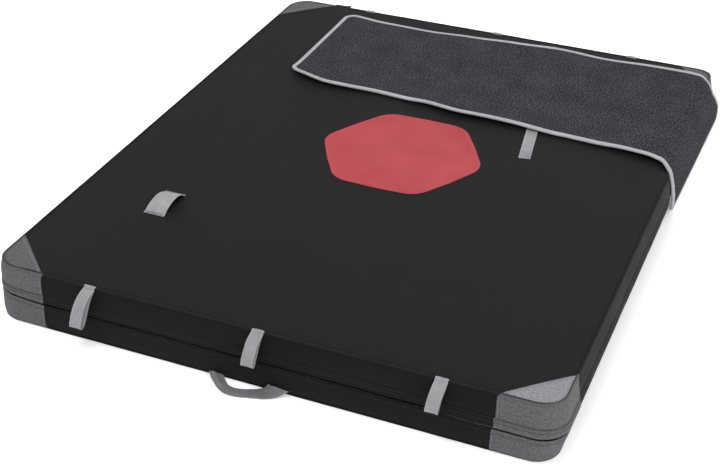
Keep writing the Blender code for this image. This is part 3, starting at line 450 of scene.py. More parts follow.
def bound_tape(name, colour, shade):
    """Ribbed binding tape."""
    finish = Finish(name, 0.7, Sheen_Weight=0.05, Specular_IOR_Level=0.25)
    cut, rib_pitch = finish.cut(), 0.0013
    ribs = (finish.parts(cut)[0] * (2 * math.pi / rib_pitch)).sine() * 0.5 + 0.5
    wear = finish.blotches(cut, 55, 3, 0.6)
    long_wear = finish.blotches(finish.stretched(cut, (1.0, 6.0, 1.0)), 12, 3, 0.6)
    share = ribs * 0.35 + finish.span(wear, 0.3, 0.7) * 0.3 + finish.span(long_wear, 0.3, 0.7) * 0.35
    return finish.dress(finish.mixed(share, shade, colour), None, ribs * 0.4 + wear * 0.8, 0.0004)


def carpet_pile():
    """Short looped pile in mixed greys."""
    finish = Finish("carpet_pile", 1.0, Specular_IOR_Level=0.02)
    cut = finish.cut()
    tufts = finish.node("ShaderNodeTexVoronoi", {}, {"Vector": cut, "Scale": 420.0, "Randomness": 1.0},
                        "Distance")
    fleck = finish.blotches(cut, 230, 2, 0.8)
    fibre = finish.blotches(cut, 700, 2, 0.6)
    trodden = finish.blotches(cut, 14, 4, 0.6)
    share = (finish.span(fleck, 0.36, 0.64) * 0.62 + finish.span(fibre, 0.3, 0.7) * 0.25
             + finish.span(trodden, 0.3, 0.7) * 0.13)
    ramp = finish.node("ShaderNodeValToRGB", {"stops": [(0.0, paint(15, 15, 17)), (1.0, paint(100, 100, 104)),
                                                        (0.5, paint(50, 50, 54))]}, {"Fac": share}, "Color")
    height = (1 - tufts * 2.0) * 0.6 + fleck * 0.5 + fibre * 0.3
    return finish.dress(ramp, None, height, 0.0011, 0.9)


def foam_block(name, colour, pore_shade, scale):
    """Foam with open cells, their hollows darkened with painted shade."""
    finish = Finish(name, 0.9)
    place = finish.place()
    cells = finish.node("ShaderNodeTexVoronoi", {}, {"Vector": place, "Scale": scale}, "Distance")
    # The hollows of the cells take the darker colour: painted shade
    tone = finish.mixed(finish.span(cells, 0.0, 0.6), pore_shade, colour)
    return finish.dress(tone, None, cells, 0.0005)


def thread(name, colour, shade):
    """Twisted sewing thread."""
    finish = Finish(name, 0.6)
    twist = finish.blotches(finish.place(), 900, 2)
    return finish.dress(finish.mixed(finish.span(twist, 0.3, 0.7), shade, colour), None, twist, 0.0002)


def moulded_plastic():
    """Black plastic with a fine grain, a little polished by hands."""
    finish = Finish("moulded_plastic", 0.42)
    grain = finish.blotches(finish.place(), 900, 3, 0.6)
    handled = finish.blotches(finish.place(), 60, 3)
    tone = finish.mixed(finish.span(handled, 0.3, 0.7), paint(24, 24, 25), paint(36, 36, 37))
    return finish.dress(tone, finish.span(handled, 0.3, 0.7, 0.36, 0.5), grain, 0.00012)


def zip_chain():
    """Fine teeth across the way that the chain runs."""
    finish, tooth_pitch = Finish("zip_chain", 0.45), 0.0021
    teeth = (finish.parts(finish.cut())[0] * (2 * math.pi / tooth_pitch)).sine() * 0.5 + 0.5
    tone = finish.mixed(teeth, paint(14, 14, 14), paint(44, 44, 45))
    return finish.dress(tone, None, teeth, 0.0008)


def landing_cloth():
    """Coated red cloth, slightly creased."""
    finish = Finish("landing_cloth", 0.55, Specular_IOR_Level=0.2)
    cut, pitch = finish.cut(), 0.0009
    u, v, _ = finish.parts(cut)
    weave = finish.woven(u, v, pitch)
    faded = finish.blotches(cut, 11, 4, 0.6)
    creases = finish.blotches(finish.stretched(cut, (1.0, 2.2, 1.0)), 26, 3, 0.6)
    share = weave * 0.2 + finish.span(faded, 0.3, 0.7) * 0.8
    tone = finish.mixed(share, paint(156, 49, 56), paint(173, 65, 72))
    return finish.dress(tone, None, weave * 0.35 + creases * 1.2, 0.0004)


NYLON = woven_cloth("cover_nylon", paint(17, 17, 18), paint(33, 33, 34),
                    pitch=0.0010, roughness=0.58, depth=0.0004)
# A darker copy of the cover nylon for the side bands: the darkness is painted shade, since the sides face
# away from the light above
SHADED_BAND_NYLON = woven_cloth("side_nylon_painted_shade", paint(13, 13, 14), paint(28, 28, 29),
                         pitch=0.0010, roughness=0.58, depth=0.0004)
GREY_CLOTH = woven_cloth("corner_cloth", paint(68, 68, 71), paint(105, 105, 108),
                         pitch=0.0012, roughness=0.66, depth=0.0005, shine=0.10, mottle=0.5)
PALER_GREY_CLOTH = woven_cloth("paler_corner_cloth", paint(108, 107, 111), paint(152, 151, 155),
                               pitch=0.0012, roughness=0.66, depth=0.0005, shine=0.10, mottle=0.5)
ZIP_TAPE = woven_cloth("zip_tape_cloth", paint(13, 13, 14), paint(26, 26, 27),
                       pitch=0.0008, roughness=0.6, depth=0.0003)
BACKING = woven_cloth("backing_cloth", paint(18, 18, 19), paint(34, 34, 35),
                      pitch=0.0013, roughness=0.7, depth=0.0004)
LOOP_WEBBING = webbing_tape("loop_webbing", paint(166, 165, 168), paint(122, 122, 125),
                            roughness=0.7, width=LOOP_WIDTH)
GRAB_WEBBING = webbing_tape("grab_webbing", paint(180, 180, 183), paint(118, 118, 121),
                            roughness=0.7, width=GRAB_LOOP_WIDTH)
HANDLE_WEBBING = webbing_tape("handle_webbing", paint(134, 134, 138), paint(92, 92, 96),
                              roughness=0.72, width=HANDLE_WIDTH)
BLACK_WEBBING = webbing_tape("black_webbing", paint(44, 44, 45), paint(24, 24, 25),
                             roughness=0.6, width=STRAP_TAPE_WIDTH)
BINDING = bound_tape("flap_binding", paint(178, 178, 182), paint(142, 142, 146))
DARK_BINDING = bound_tape("strap_binding", paint(48, 48, 49), paint(28, 28, 29))
CARPET = carpet_pile()
FIRM_FOAM = foam_block("firm_foam", paint(96, 96, 98), paint(66, 66, 68), scale=900)
SOFT_FOAM = foam_block("soft_foam", paint(206, 200, 178), paint(168, 160, 136), scale=600)
PLASTIC = moulded_plastic()
ZIP_CHAIN = zip_chain()
LANDING_CLOTH = landing_cloth()
BLACK_THREAD = thread("black_thread", paint(24, 24, 25), paint(12, 12, 13))
DARK_THREAD = thread("dark_thread", paint(48, 48, 50), paint(26, 26, 28))
GREY_THREAD = thread("grey_thread", paint(146, 146, 150), paint(112, 112, 116))
PALE_THREAD = thread("pale_thread", paint(196, 196, 200), paint(160, 160, 164))
RED_THREAD = thread("red_thread", paint(214, 104, 112), paint(180, 72, 80))


# Making pieces

def cloth_grid(us, vs, place):
    """A grid of cloth through the places us and vs. Its UV map is its flat cut, in metres."""
    bm = bmesh.new()
    cut = bm.loops.layers.uv.new("cut")
    bmesh.ops.create_grid(bm, x_segments=len(us) - 1, y_segments=len(vs) - 1, size=0.5)
    spots = {vert: (round((vert.co.x + 0.5) * (len(us) - 1)), round((vert.co.y + 0.5) * (len(vs) - 1)))
             for vert in bm.verts}
    for face in bm.faces:
        for corner in face.loops:
            i, j = spots[corner.vert]
            corner[cut].uv = (us[i], vs[j])
    for vert, (i, j) in spots.items():
        vert.co = place(i, j)
    bmesh.ops.remove_doubles(bm, verts=bm.verts, dist=2e-6)
    return bm


def faced(bm, direction):
    """Turns an open sheet's faces to a direction."""
    if sum(face.normal.dot(direction) * face.calc_area() for face in bm.faces) < 0:
        bmesh.ops.reverse_faces(bm, faces=bm.faces)
    return bm


def trim(bm, place, outwards):
    """Cuts away what lies beyond a plane."""
    bmesh.ops.bisect_plane(bm, geom=bm.verts[:] + bm.edges[:] + bm.faces[:], plane_co=place,
                           plane_no=outwards, clear_outer=True)


def closed(bm):
    """Fills a tube's open ends, if it has any, and turns its faces out."""
    bmesh.ops.holes_fill(bm, edges=[edge for edge in bm.edges if edge.is_boundary])
    bmesh.ops.recalc_face_normals(bm, faces=bm.faces)
    return bm


def make_piece(name, bm, finish, thickness=0.0):
    """An object from a mesh drawn in place. A thickness is added behind its faces."""
    mesh = bpy.data.meshes.new(name)
    bm.normal_update()
    bm.to_mesh(mesh)
    bm.free()
    mesh.materials.append(finish)
    piece = bpy.data.objects.new(name, mesh)
    bpy.context.scene.collection.objects.link(piece)
    if thickness:
        wall = piece.modifiers.new("thickness", "SOLIDIFY")
        wall.thickness = thickness
        wall.offset = -1
        wall.use_even_offset = True
        bpy.context.view_layer.update()
        walled = piece.evaluated_get(bpy.context.evaluated_depsgraph_get())
        solid = bpy.data.meshes.new_from_object(walled)
        piece.modifiers.clear()
        piece.data = solid
        solid.name = name
    piece.data.shade_smooth()
    piece.data.set_sharp_from_angle(angle=math.radians(52))
    return piece


def settle(piece, where, slot, *nodes):
    """Puts a piece on its body: bakes it in place for the pad, the flap and the handle, or hangs it from its
    body's empty; then hides the given nodes.
    """
    if where == "pad":
        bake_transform(piece)
    elif where == "flap":
        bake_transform(piece)
    elif where == "carrying":
        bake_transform(piece)
    else:
        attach(piece, where)
    if nodes:
        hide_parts(*nodes)
    return piece


def both(name):
    """The front and the rear node of a piece that crosses the fold."""
    return f"front_{name}", f"rear_{name}"


def webbing_strip(route, acrosses, widths, rows=6, shape=None):
    """A strip of webbing along a route. Its UV runs along it and across from the middle."""
    shares = [-0.5, -0.45] + [-0.4 + 0.8 * i / rows for i in range(rows + 1)] + [0.45, 0.5]
    runs = run_lengths(route)
    widest = max(widths)

    def place(i, j):
        along = (route[min(i + 1, len(route) - 1)] - route[max(i - 1, 0)]).normalized()
        rise = along.cross(acrosses[i]).normalized()
        lift = shape(i / (len(route) - 1), shares[j]) if shape else 0.0
        edge = -0.00035 * eased((abs(shares[j]) - 0.4) / 0.1)
        return route[i] + acrosses[i] * widths[i] * shares[j] + rise * (WEBBING / 2 + lift + edge)

    return cloth_grid(runs, [share * widest for share in shares], place)


def even_strip(route, across, width, rows=6, shape=None):
    """A strip of webbing of one width, which lies across its route in one direction."""
    return webbing_strip(route, [across] * len(route), [width] * len(route), rows, shape)


def thread_run(track, pitch, wide):
    """A thread that runs along a track of points and normals, over and under the cloth by turns."""
    runs = run_lengths([point for point, _ in track])
    count = max(round(runs[-1] / pitch), 1)
    turns = full_turn(5)
    rings, at = [], 0
    for k in range(count * 4 + 1):
        reach = min(runs[-1] * k / (count * 4), runs[-1] - 1e-7)
        while runs[at + 1] < reach:
            at += 1
        (a, up_a), (b, up_b) = track[at], track[at + 1]
        share = (reach - runs[at]) / (runs[at + 1] - runs[at])
        up, ahead = up_a.lerp(up_b, share).normalized(), (b - a).normalized()
        rise, swell = ((-0.75, 0.6), (0.22, 0.9), (0.42, 1.0), (0.22, 0.9))[k % 4]
        middle = a.lerp(b, share) + up * rise * wide
        rings.append((middle, up, up.cross(ahead).normalized(), wide / 2 * swell))

    def place(i, j):
        middle, up, side, radius = rings[i]
        return middle + side * radius * math.cos(turns[j]) + up * radius * 0.85 * math.sin(turns[j])

    return cloth_grid([runs[-1] * k / (count * 4) for k in range(len(rings))], turns, place)


def stitch_rows(name, tracks, finish, pitch=BAND_PITCH, wide=THREAD):
    """Rows of stitches, each a thread that comes up between its needle holes."""
    whole = bmesh.new()
    for track in tracks:
        row = closed(thread_run(track, pitch, wide))
        part = bpy.data.meshes.new(name)
        row.to_mesh(part)
        row.free()
        whole.from_mesh(part)
        bpy.data.meshes.remove(part)
    return make_piece(name, whole, finish)


# The cover's surfaces

def outline(s):
    """Plan point and outward direction at a distance round the pad from the fold's right end."""
    s = (s + STRAIGHT_Y) % ROUND
    for turn in range(4):
        facing = turn * math.pi / 2
        reach, half_run = ((HALF_WIDTH, STRAIGHT_Y), (HALF_LENGTH, STRAIGHT_X))[turn % 2]
        out = Vector((math.cos(facing), math.sin(facing), 0))
        ahead = Vector((-out.y, out.x, 0))
        if s <= 2 * half_run:
            return out * reach + ahead * (s - half_run), out
        s -= 2 * half_run
        if s <= CORNER_ARC:
            turned = facing + s / CORNER_RADIUS
            normal = Vector((math.cos(turned), math.sin(turned), 0))
            return out * (reach - CORNER_RADIUS) + ahead * half_run + normal * CORNER_RADIUS, normal
        s -= CORNER_ARC
    return outline(0)


def levels_by_millimetre(levels):
    """Standouts at each millimetre of height, on a smooth curve through the ones given in millimetres."""
    curve = smooth_curve([(h, out / 1000, 0) for h, out in zip(SIDE_HEIGHTS, levels)], 8)
    rows, k = [], 0
    for step in range(LEVEL_ROWS):
        h = min(step / 1000, SIDE_HEIGHTS[-1])
        while curve[k + 1].x < h and k < len(curve) - 2:
            k += 1
        a, b = curve[k], curve[k + 1]
        rows.append(a.y + (b.y - a.y) * (h - a.x) / (b.x - a.x))
    return rows


LEVEL_ROWS = 130
SIDE_LEVELS = {side: levels_by_millimetre(levels) for side, levels in SIDE_STANDOUTS.items()}


def side_level(side, h):
    """How far a side stands out at a height."""
    place = min(max(h, 0) * 1000, LEVEL_ROWS - 1.01)
    i = int(place)
    low, high = SIDE_LEVELS[side][i:i + 2]
    return low + (high - low) * (place - i)


def loose_share(x):
    """The front's cloth is drawn tight except towards its right end."""
    loose_from, change = 0.30, 0.13
    return eased((x - loose_from) / change)


def zip_rise(x, y, h):
    """How much higher than its nominal line the zip and the cloth beside it are drawn at the front."""
    near = ((HALF_LENGTH - y) / (2 * HALF_LENGTH)) ** 2
    corner = math.exp(-((x + 0.57) / 0.05) ** 2 - ((y + 0.69) / 0.06) ** 2)
    share = eased(h / 0.045) * (1 - eased((h - 0.056) / 0.031))
    all_along, where_tight, by_left_corner = 0.0024, 0.0028, 0.006
    return near * share * (all_along + where_tight * (1 - loose_share(x)) + by_left_corner * corner)


def seam_inset(x, y):
    """How far in from the edge the top seam's crease lies: least on the left and the right side."""
    over_x, over_y = max(abs(x) - STRAIGHT_X, 0), max(abs(y) - STRAIGHT_Y, 0)
    sideways = over_x ** 2 / (over_x ** 2 + over_y ** 2) if over_x else 0
    closer = 0.0034
    return SEAM_INSET - closer * max(sideways, eased((-x - 0.50) / 0.08))


def drawn_in(y, h):
    """How far the flap over its edge presses the right side in."""
    all_over, more_above = 0.0068, 0.0047
    return under_flap(y) * (all_over + more_above * eased((h - STRIP_TOP) / 0.045))


def under_flap(y):
    """1 where the flap lies over the right side, easing to 0 beyond its edges."""
    near, far = UNDER_FLAP_Y
    near_change, far_change = 0.045, 0.035
    return eased((y - near) / near_change) * eased((far - y) / far_change)


def sides_out(x, y, h):
    """How far the four sides stand out from the plain outline at a height."""
    across = side_level("right", h) - drawn_in(y, h) if x > 0 else side_level("left", h)
    across *= (abs(x) / HALF_WIDTH) ** 8
    loose = loose_share(x)
    along = (side_level("rear", h) if y > 0 else
             side_level("front", h) * (1 - loose) + side_level("loose_front", h) * loose)
    along *= (abs(y) / HALF_LENGTH) ** 8
    pressed_down = 0.0072
    pressed = pressed_down * under_flap(y) * eased((x - 0.53) / 0.055) * eased((h - 0.100) / 0.028)
    return Vector((math.copysign(1, x) * across, math.copysign(1, y) * along, -pressed))


def near_left_out(x, y, h):
    """The near left corner, trodden out of shape."""
    reach = ((x - NEAR_LEFT[0]) ** 2 + (y - NEAR_LEFT[1]) ** 2) / NEAR_LEFT_REACH ** 2
    aside = 0.5 * eased(h / 0.045) * (1 - eased((h - 0.08) / 0.03))
    return Vector((-1, aside, 0)) * side_level("near_left", h) * math.exp(-reach)


def drift(x, y, h):
    """How far the cover lies from the plain outline at a height."""
    return sides_out(x, y, h) + near_left_out(x, y, h)


def side_rumple(x, y, h):
    """Slack and puckers of the side bands."""
    low, high = (LOWER_FOOT, LOWER_LIP) if h < ZIP_LINE else (ZIP_HIGH, UPPER_TOP)
    from_seam = max(min(h - low, high - h), 0)
    free = eased(from_seam / 0.016)
    broad, fine, pucker, fold = 0.0013, 0.0007, 0.0008, 0.0013 if h < ZIP_LINE else 0.0005
    slack = broad * ripple(x * 6, y * 6, h * 9) + fine * ripple(x * 21, y * 21, h * 11, 1)
    puckers = pucker * math.exp(-from_seam / 0.009) * ripple(x * 75, y * 75, h * 16, 2)
    upright = fold * ripple(x * 34, y * 34, h * 7, 17)
    return (slack + upright) * free + puckers * eased(from_seam / 0.003)


def skin(s, h, rise=0.0):
    """A point on the side of the cover. Both bands turn in to the zip."""
    spot, normal = outline(s)
    lip_turn, lip_rise, lip_drop = 0.0030, 0.0009, 0.0030
    if h > ZIP_LINE:
        turned, shown, height = eased((STRIP_TOP - h) / (STRIP_TOP - ZIP_HIGH)), max(h, STRIP_TOP), h
    else:
        turned, shown = min(max((h - LOWER_LIP) / lip_turn, 0), 1), min(h, LOWER_LIP)
        height = shown + lip_rise * math.sin(math.pi * min(turned * 2, 1)) - lip_drop * turned ** 2
    out = sides_out(spot.x, spot.y, shown) * (1 - turned)
    out += near_left_out(spot.x, spot.y, shown) * (1 - 0.2 * turned)
    height += zip_rise(spot.x, spot.y, height)
    return spot + out + normal * (side_rumple(spot.x, spot.y, h) + rise) + Vector((0, 0, height))


def strip_skin(s, h, rise=0.0):
    """A point on the strip that hangs over the zip."""
    spot, normal = outline(s)
    down = (STRIP_TOP - h) / (STRIP_TOP - STRIP_FOOT)
    gap, standout, broad, fine, hem, wander = 0.0003, 0.0009, 0.0009, 0.0004, 0.0005, 0.0006
    sewn = side_rumple(spot.x, spot.y, STRIP_TOP) + gap
    loose = standout + broad * ripple(spot.x * 9, spot.y * 9, 0, 3)
    loose += fine * ripple(spot.x * 34, spot.y * 34, 0, 4)
    roll = hem * math.exp(-((h - STRIP_FOOT - 0.0012) / 0.0014) ** 2)
    drop = wander * ripple(spot.x * 7, spot.y * 7, 0, 5) * down + zip_rise(spot.x, spot.y, h)
    out = sewn + (loose - sewn) * eased(down) + roll
    return spot + drift(spot.x, spot.y, h) + normal * (out + rise) + Vector((0, 0, h + drop))


def rounded(x, y, radius=CORNER_RADIUS, reach_x=HALF_WIDTH, reach_y=HALF_LENGTH):
    """Moves a point of the plain rectangle so that the rectangle's corners are round."""
    over_x, over_y = abs(x) - reach_x + radius, abs(y) - reach_y + radius
    if over_x <= 0 or over_y <= 0:
        return x, y
    u, v = over_x / radius, over_y / radius
    u, v = u * math.sqrt(1 - v * v / 2), v * math.sqrt(1 - u * u / 2)
    return (math.copysign(reach_x - radius + u * radius, x),
            math.copysign(reach_y - radius + v * radius, y))


def inset_of(x, y):
    """How far a plan point lies inside the pad's outline."""
    over_x, over_y = abs(x) - STRAIGHT_X, abs(y) - STRAIGHT_Y
    outside = math.hypot(max(over_x, 0), max(over_y, 0))
    return CORNER_RADIUS - outside - min(max(over_x, over_y), 0)


def top_height(x, y):
    """Height of the top cloth: crowned, pulled in by its seam, and a little uneven."""
    inset = max(inset_of(x, y), 0)
    share = min(inset / CROWN_BORDER, 1)
    crown = TOP_CROWN * (1 - (1 - share) ** 2)
    crease_depth, crease_width = 0.0021, 0.0019
    pucker, fold, broad, fine = 0.00065, 0.0010, 0.00045, 0.00018
    crease = crease_depth * math.exp(-((inset - seam_inset(x, y)) / crease_width) ** 2)
    puckers = pucker * math.exp(-inset / 0.022) * eased(inset / 0.004) * ripple(x * 62, y * 62, 0, 6)
    far_left = math.exp(-((x + 0.42) / 0.16) ** 2 - ((y - 0.60) / 0.12) ** 2)
    creases = fold * far_left * ripple(x * 10 + y * 34, y * 8 - x * 5, 0, 7)
    slack = broad * ripple(x * 5, y * 5, 0, 8) + fine * ripple(x * 19, y * 19, 0, 9)
    return SEAM_HEIGHT + crown - crease + puckers + (slack + creases) * eased(inset / 0.05)


def on_top(x, y, rise=0.0):
    """A point on the top cloth, or a rise above it."""
    return Vector((x, y, top_height(x, y) + rise)) + drift(x, y, SEAM_HEIGHT)


# The cover

def make_cover():
    """The top cloth, the bands and the strip over the zip, and the zip itself."""
    around = even(0, ROUND, AROUND_STEP)
    xs, ys = bordered(HALF_WIDTH, TOP_STEP_X), bordered(HALF_LENGTH, TOP_STEP_Y)

    def top_place(i, j):
        x, y = rounded(xs[i], ys[j])
        return on_top(x, y)

    top = make_piece("top_cloth", cloth_grid(xs, ys, top_place), NYLON, CLOTH)
    settle(top, "pad", "cover", *both("top_panel"))

    bands = (("upper_band_cloth", even(ZIP_HIGH - 0.002, UPPER_TOP + 0.001, UPPER_STEP), skin, CLOTH,
              "upper_side_band"),
             ("lower_band_cloth", [*even(LOWER_FOOT - 0.0008, LOWER_LIP, LOWER_STEP), *TURNED_IN_ROWS],
              skin, CLOTH, "lower_side_band"),
             ("zip_strip_cloth", [STRIP_FOOT, 0.0576, *STRIP_ROWS, STRIP_TOP], strip_skin, STRIP_CLOTH,
              "zip_cover"))
    for name, heights, surface, thickness, node in bands:
        bm = cloth_grid(around, heights, lambda i, j: surface(around[i], heights[j]))
        # The bands take the darker copy of the nylon, whose darkness is painted shade
        band = make_piece(name, bm, SHADED_BAND_NYLON, thickness)
        settle(band, "pad", "cover", *both(node))
        heights[-1] - heights[0]

    def zip_point(s, out, h):
        """A point of the zip, which lies further back on every side but the far one."""
        spot, normal = outline(s)
        height = h + zip_rise(spot.x, spot.y, h)
        back = 0.0045 * eased((0.70 - spot.y) / 0.05)
        side = -0.9 * drawn_in(spot.y, h) if spot.x > STRAIGHT_X else 0
        trodden = near_left_out(spot.x, spot.y, h) * 0.8
        return spot + normal * (out - back) + trodden + Vector((side, 0, height))

    tape_rows = even(ZIP_LOW, ZIP_HIGH, 0.0035)
    bm = cloth_grid(around, tape_rows, lambda i, j: zip_point(around[i], -0.0002, tape_rows[j]))
    tape = settle(make_piece("zip_tape", bm, ZIP_TAPE, TAPE_CLOTH), "pad", "zip", *both("zip"))
    turns = full_turn(8)
    bm = cloth_grid(around, turns, lambda i, j: zip_point(
        around[i], 0.0002 + 0.0011 * math.cos(turns[j]), ZIP_LINE - 0.003 * math.sin(turns[j])))
    settle(make_piece("zip_coil", closed(bm), ZIP_CHAIN), "pad", "zip")
    return around


def by_corner(s):
    """Whether a distance round the pad lies at a corner patch."""
    return any(abs(s - centre) < PATCH_SPAN for centre in CORNERS.values())


def side_track(surface, places, h, rise):
    """A track for stitches that runs round the side at a height."""
    return [(surface(s, h, rise), outline(s)[1]) for s in places]


def top_track(points, rise):
    """A track for stitches over the top, through plan points."""
    return [(on_top(point.x, point.y, rise), UP) for point in points]


def make_beads(around):
    """The raised seams round the top and the bottom, grey at the corners."""
    turns = full_turn(10)
    for name, out, height, wide, thick in (("top_seam", -0.0008, SEAM_HEIGHT - 0.0006, 0.0031, 0.0020),
                                           ("bottom_seam", 0.0003, 0.0022, 0.0016, 0.0016)):
        def place(i, j):
            spot, normal = outline(around[i])
            puff = 1 + 0.10 * ripple(spot.x * 60, spot.y * 60, 0, 11)
            wander = 0.0004 * ripple(spot.x * 14, spot.y * 14, 0, 12)
            return (spot + drift(spot.x, spot.y, height) + normal * (out + wide * puff * math.cos(turns[j]))
                    + Vector((0, 0, height + wander - thick * puff * math.sin(turns[j]))))

        bm = closed(cloth_grid(around, turns, place))
        for face in bm.faces:
            s = sum(corner[bm.loops.layers.uv["cut"]].uv.x for corner in face.loops) / len(face.loops)
            face.material_index = by_corner(s)
        bead = make_piece(name, bm, NYLON)
        bead.data.materials.append(GREY_CLOTH)
        settle(bead, "pad", "cover")


def make_seams(around):
    """The stitches of the seams that run all the way round."""
    dark, grey = [], []
    for i in range(len(around) - 1):
        spots = []
        for s in (around[i], around[i + 1]):
            spot, normal = outline(s)
            spots.append(spot - normal * seam_inset(spot.x, spot.y))
        spots = top_track(spots, 0.0004)
        row = grey if by_corner((around[i] + around[i + 1]) / 2) else dark
        if row and (row[-1][-1][0] - spots[0][0]).length < 1e-6:
            row[-1].append(spots[1])
        else:
            row.append(spots)
    for row in grey:
        for k, (spot, up) in enumerate(row):
            row[k] = (spot + up * 0.0016, up)
    # Wide black stitches along the seam's crease: partly real thread, partly painted shade of the crease
    settle(stitch_rows("top_seam_stitches_and_crease_shade", dark, BLACK_THREAD, TOP_SEAM_PITCH, TOP_SEAM_THREAD_AND_SHADE), "pad",
           "cover")
    # The grey corners' seam rows are wide black thread: real stitches, and painted shade of the crease
    for side, wide in CORNER_SEAM_THREADS_AND_SHADE.items():
        rows = [row for row in grey if (row[0][0].x < 0) == (side == "left")]
        stitches = stitch_rows(f"{side}_corner_seam_stitches_and_crease_shade", rows, BLACK_THREAD, CORNER_SEAM_PITCH, wide)
        settle(stitches, "pad", "grey_cloth")
    strip = [side_track(strip_skin, around, seam, 0.0002) for seam in STRIP_SEAMS]
    lower = [side_track(skin, around, LOWER_SEAM, 0.0002)]
    settle(stitch_rows("strip_stitches", strip, BLACK_THREAD), "pad", "cover")
    settle(stitch_rows("lower_band_stitches", lower, BLACK_THREAD), "pad", "cover")


def make_corner(name, centre):
    """The grey patches round one corner: on the top, the upper band, the strip and the lower band."""
    half = name.split("_")[0] + "_half"
    side = 1 if name.endswith("right") else -1
    end = 1 if name.startswith("rear") else -1
    longer, beyond = LONGER_FRONT.get(name, {}), LONGER_SIDE.get(name, {})
    front_reach = PATCH_REACH + longer.get("top", 0)
    steps = even(BORDER_ROWS[-1], PATCH_REACH + 0.008, PATCH_STEP)[1:]
    insets = [0.0013, 0.0024, *BORDER_ROWS[2:], *steps]
    rows_in = [0.0046, 0.0053, *BORDER_ROWS[4:], *steps]

    def place(i, j):
        x, y = rounded(side * (HALF_WIDTH - insets[i]), end * (HALF_LENGTH - rows_in[j]))
        slope = (front_reach - insets[i] - rows_in[j] * front_reach / PATCH_REACH) / math.sqrt(2)
        hem = 0.0005 * math.exp(-((slope - 0.003) / 0.003) ** 2)
        return on_top(x, y, PATCH_RISE + hem)

    bm = faced(cloth_grid(insets, rows_in, place), UP)
    cut_at = Vector((side * HALF_WIDTH, end * (HALF_LENGTH - PATCH_REACH), 0))
    inwards = Vector((-side * PATCH_REACH, -end * front_reach, 0)).normalized()
    trim(bm, cut_at, inwards)
    cloth = PALER_GREY_CLOTH if name == "front_right" else GREY_CLOTH
    patch = settle(make_piece(f"{name}_top_corner", bm, cloth, PATCH_CLOTH), half, "grey_cloth",
                   f"{name}_corner_top_patch")
    PATCH_CUT_DEPTH * front_reach

    def along(part, inset, step):
        """Distances round the pad, from one end of a side patch to the other."""
        return even(centre - PATCH_SPAN - longer.get(part, 0) + inset,
                    centre + PATCH_SPAN + beyond.get(part, 0) - inset, step)

    side_rows = {"upper": even(STRIP_TOP + 0.0005, UPPER_TOP + 0.0006, 0.0052),
                 "zip": [STRIP_FOOT + 0.0002, 0.0578, *STRIP_ROWS, STRIP_TOP + 0.0002],
                 "lower": even(LOWER_FOOT - 0.0006, LOWER_LIP + 0.0001, LOWER_STEP)}
    for part, heights in side_rows.items():
        surface = strip_skin if part == "zip" else skin
        around = along(part, 0, 0.0062)

        def around_place(i, j):
            edge = min(around[i] - around[0], around[-1] - around[i])
            hem = 0.0004 * math.exp(-((edge - 0.003) / 0.003) ** 2)
            return surface(around[i], heights[j], SIDE_PATCH_RISE + hem)

        bm = cloth_grid(around, heights, around_place)
        patch = make_piece(f"{name}_{part}_corner", bm, GREY_CLOTH, SIDE_PATCH_CLOTH)
        settle(patch, half, "grey_cloth", f"{name}_corner_{part}_patch")
        around[-1] - around[0]
        heights[-1] - heights[0]
        "zip_strip_cloth" if part == "zip" else f"{part}_band_cloth"

    zip_places, lower_places = along("zip", 0.001, 0.006), along("lower", 0.001, 0.006)
    rows = [side_track(strip_skin, zip_places, STRIP_SEAMS[0], 0.0013)]
    stitches = stitch_rows(f"{name}_corner_rows", rows, BLACK_THREAD, CORNER_ROW_PITCH, CORNER_ROW_THREAD)
    settle(stitches, half, "grey_cloth")
    rows = [side_track(strip_skin, zip_places, STRIP_SEAMS[1], 0.0013),
            side_track(skin, lower_places, LOWER_SEAM - 0.001, 0.0013)]
    stitches = stitch_rows(f"{name}_corner_fine_rows", rows, DARK_THREAD, FINE_ROW_PITCH, FINE_ROW_THREAD)
    settle(stitches, half, "grey_cloth")
    tracks = []
    for part, surface, low, high in (("upper", skin, 0.084, 0.120), ("zip", strip_skin, 0.058, 0.063),
                                     ("lower", skin, 0.006, 0.041)):
        places = along(part, 0.001, 0.006)
        for s in (places[0] + 0.002, places[-1] - 0.002):
            tracks.append([(surface(s, h, 0.0015), outline(s)[1]) for h in even(low, high, 0.004)])
    from_edge, diagonal = 0.004, 1.41
    for from_hem in (0.003, 0.0065):
        back = from_edge + from_hem * diagonal
        start = Vector((side * (HALF_WIDTH - from_edge), end * (HALF_LENGTH - PATCH_REACH + back), 0))
        finish = Vector((side * (HALF_WIDTH - front_reach + back), end * (HALF_LENGTH - from_edge), 0))
        tracks.append(top_track([start.lerp(finish, i / 30) for i in range(31)], 0.0017))
    settle(stitch_rows(f"{name}_corner_stitches", tracks, GREY_THREAD, PATCH_PITCH), half, "grey_cloth")


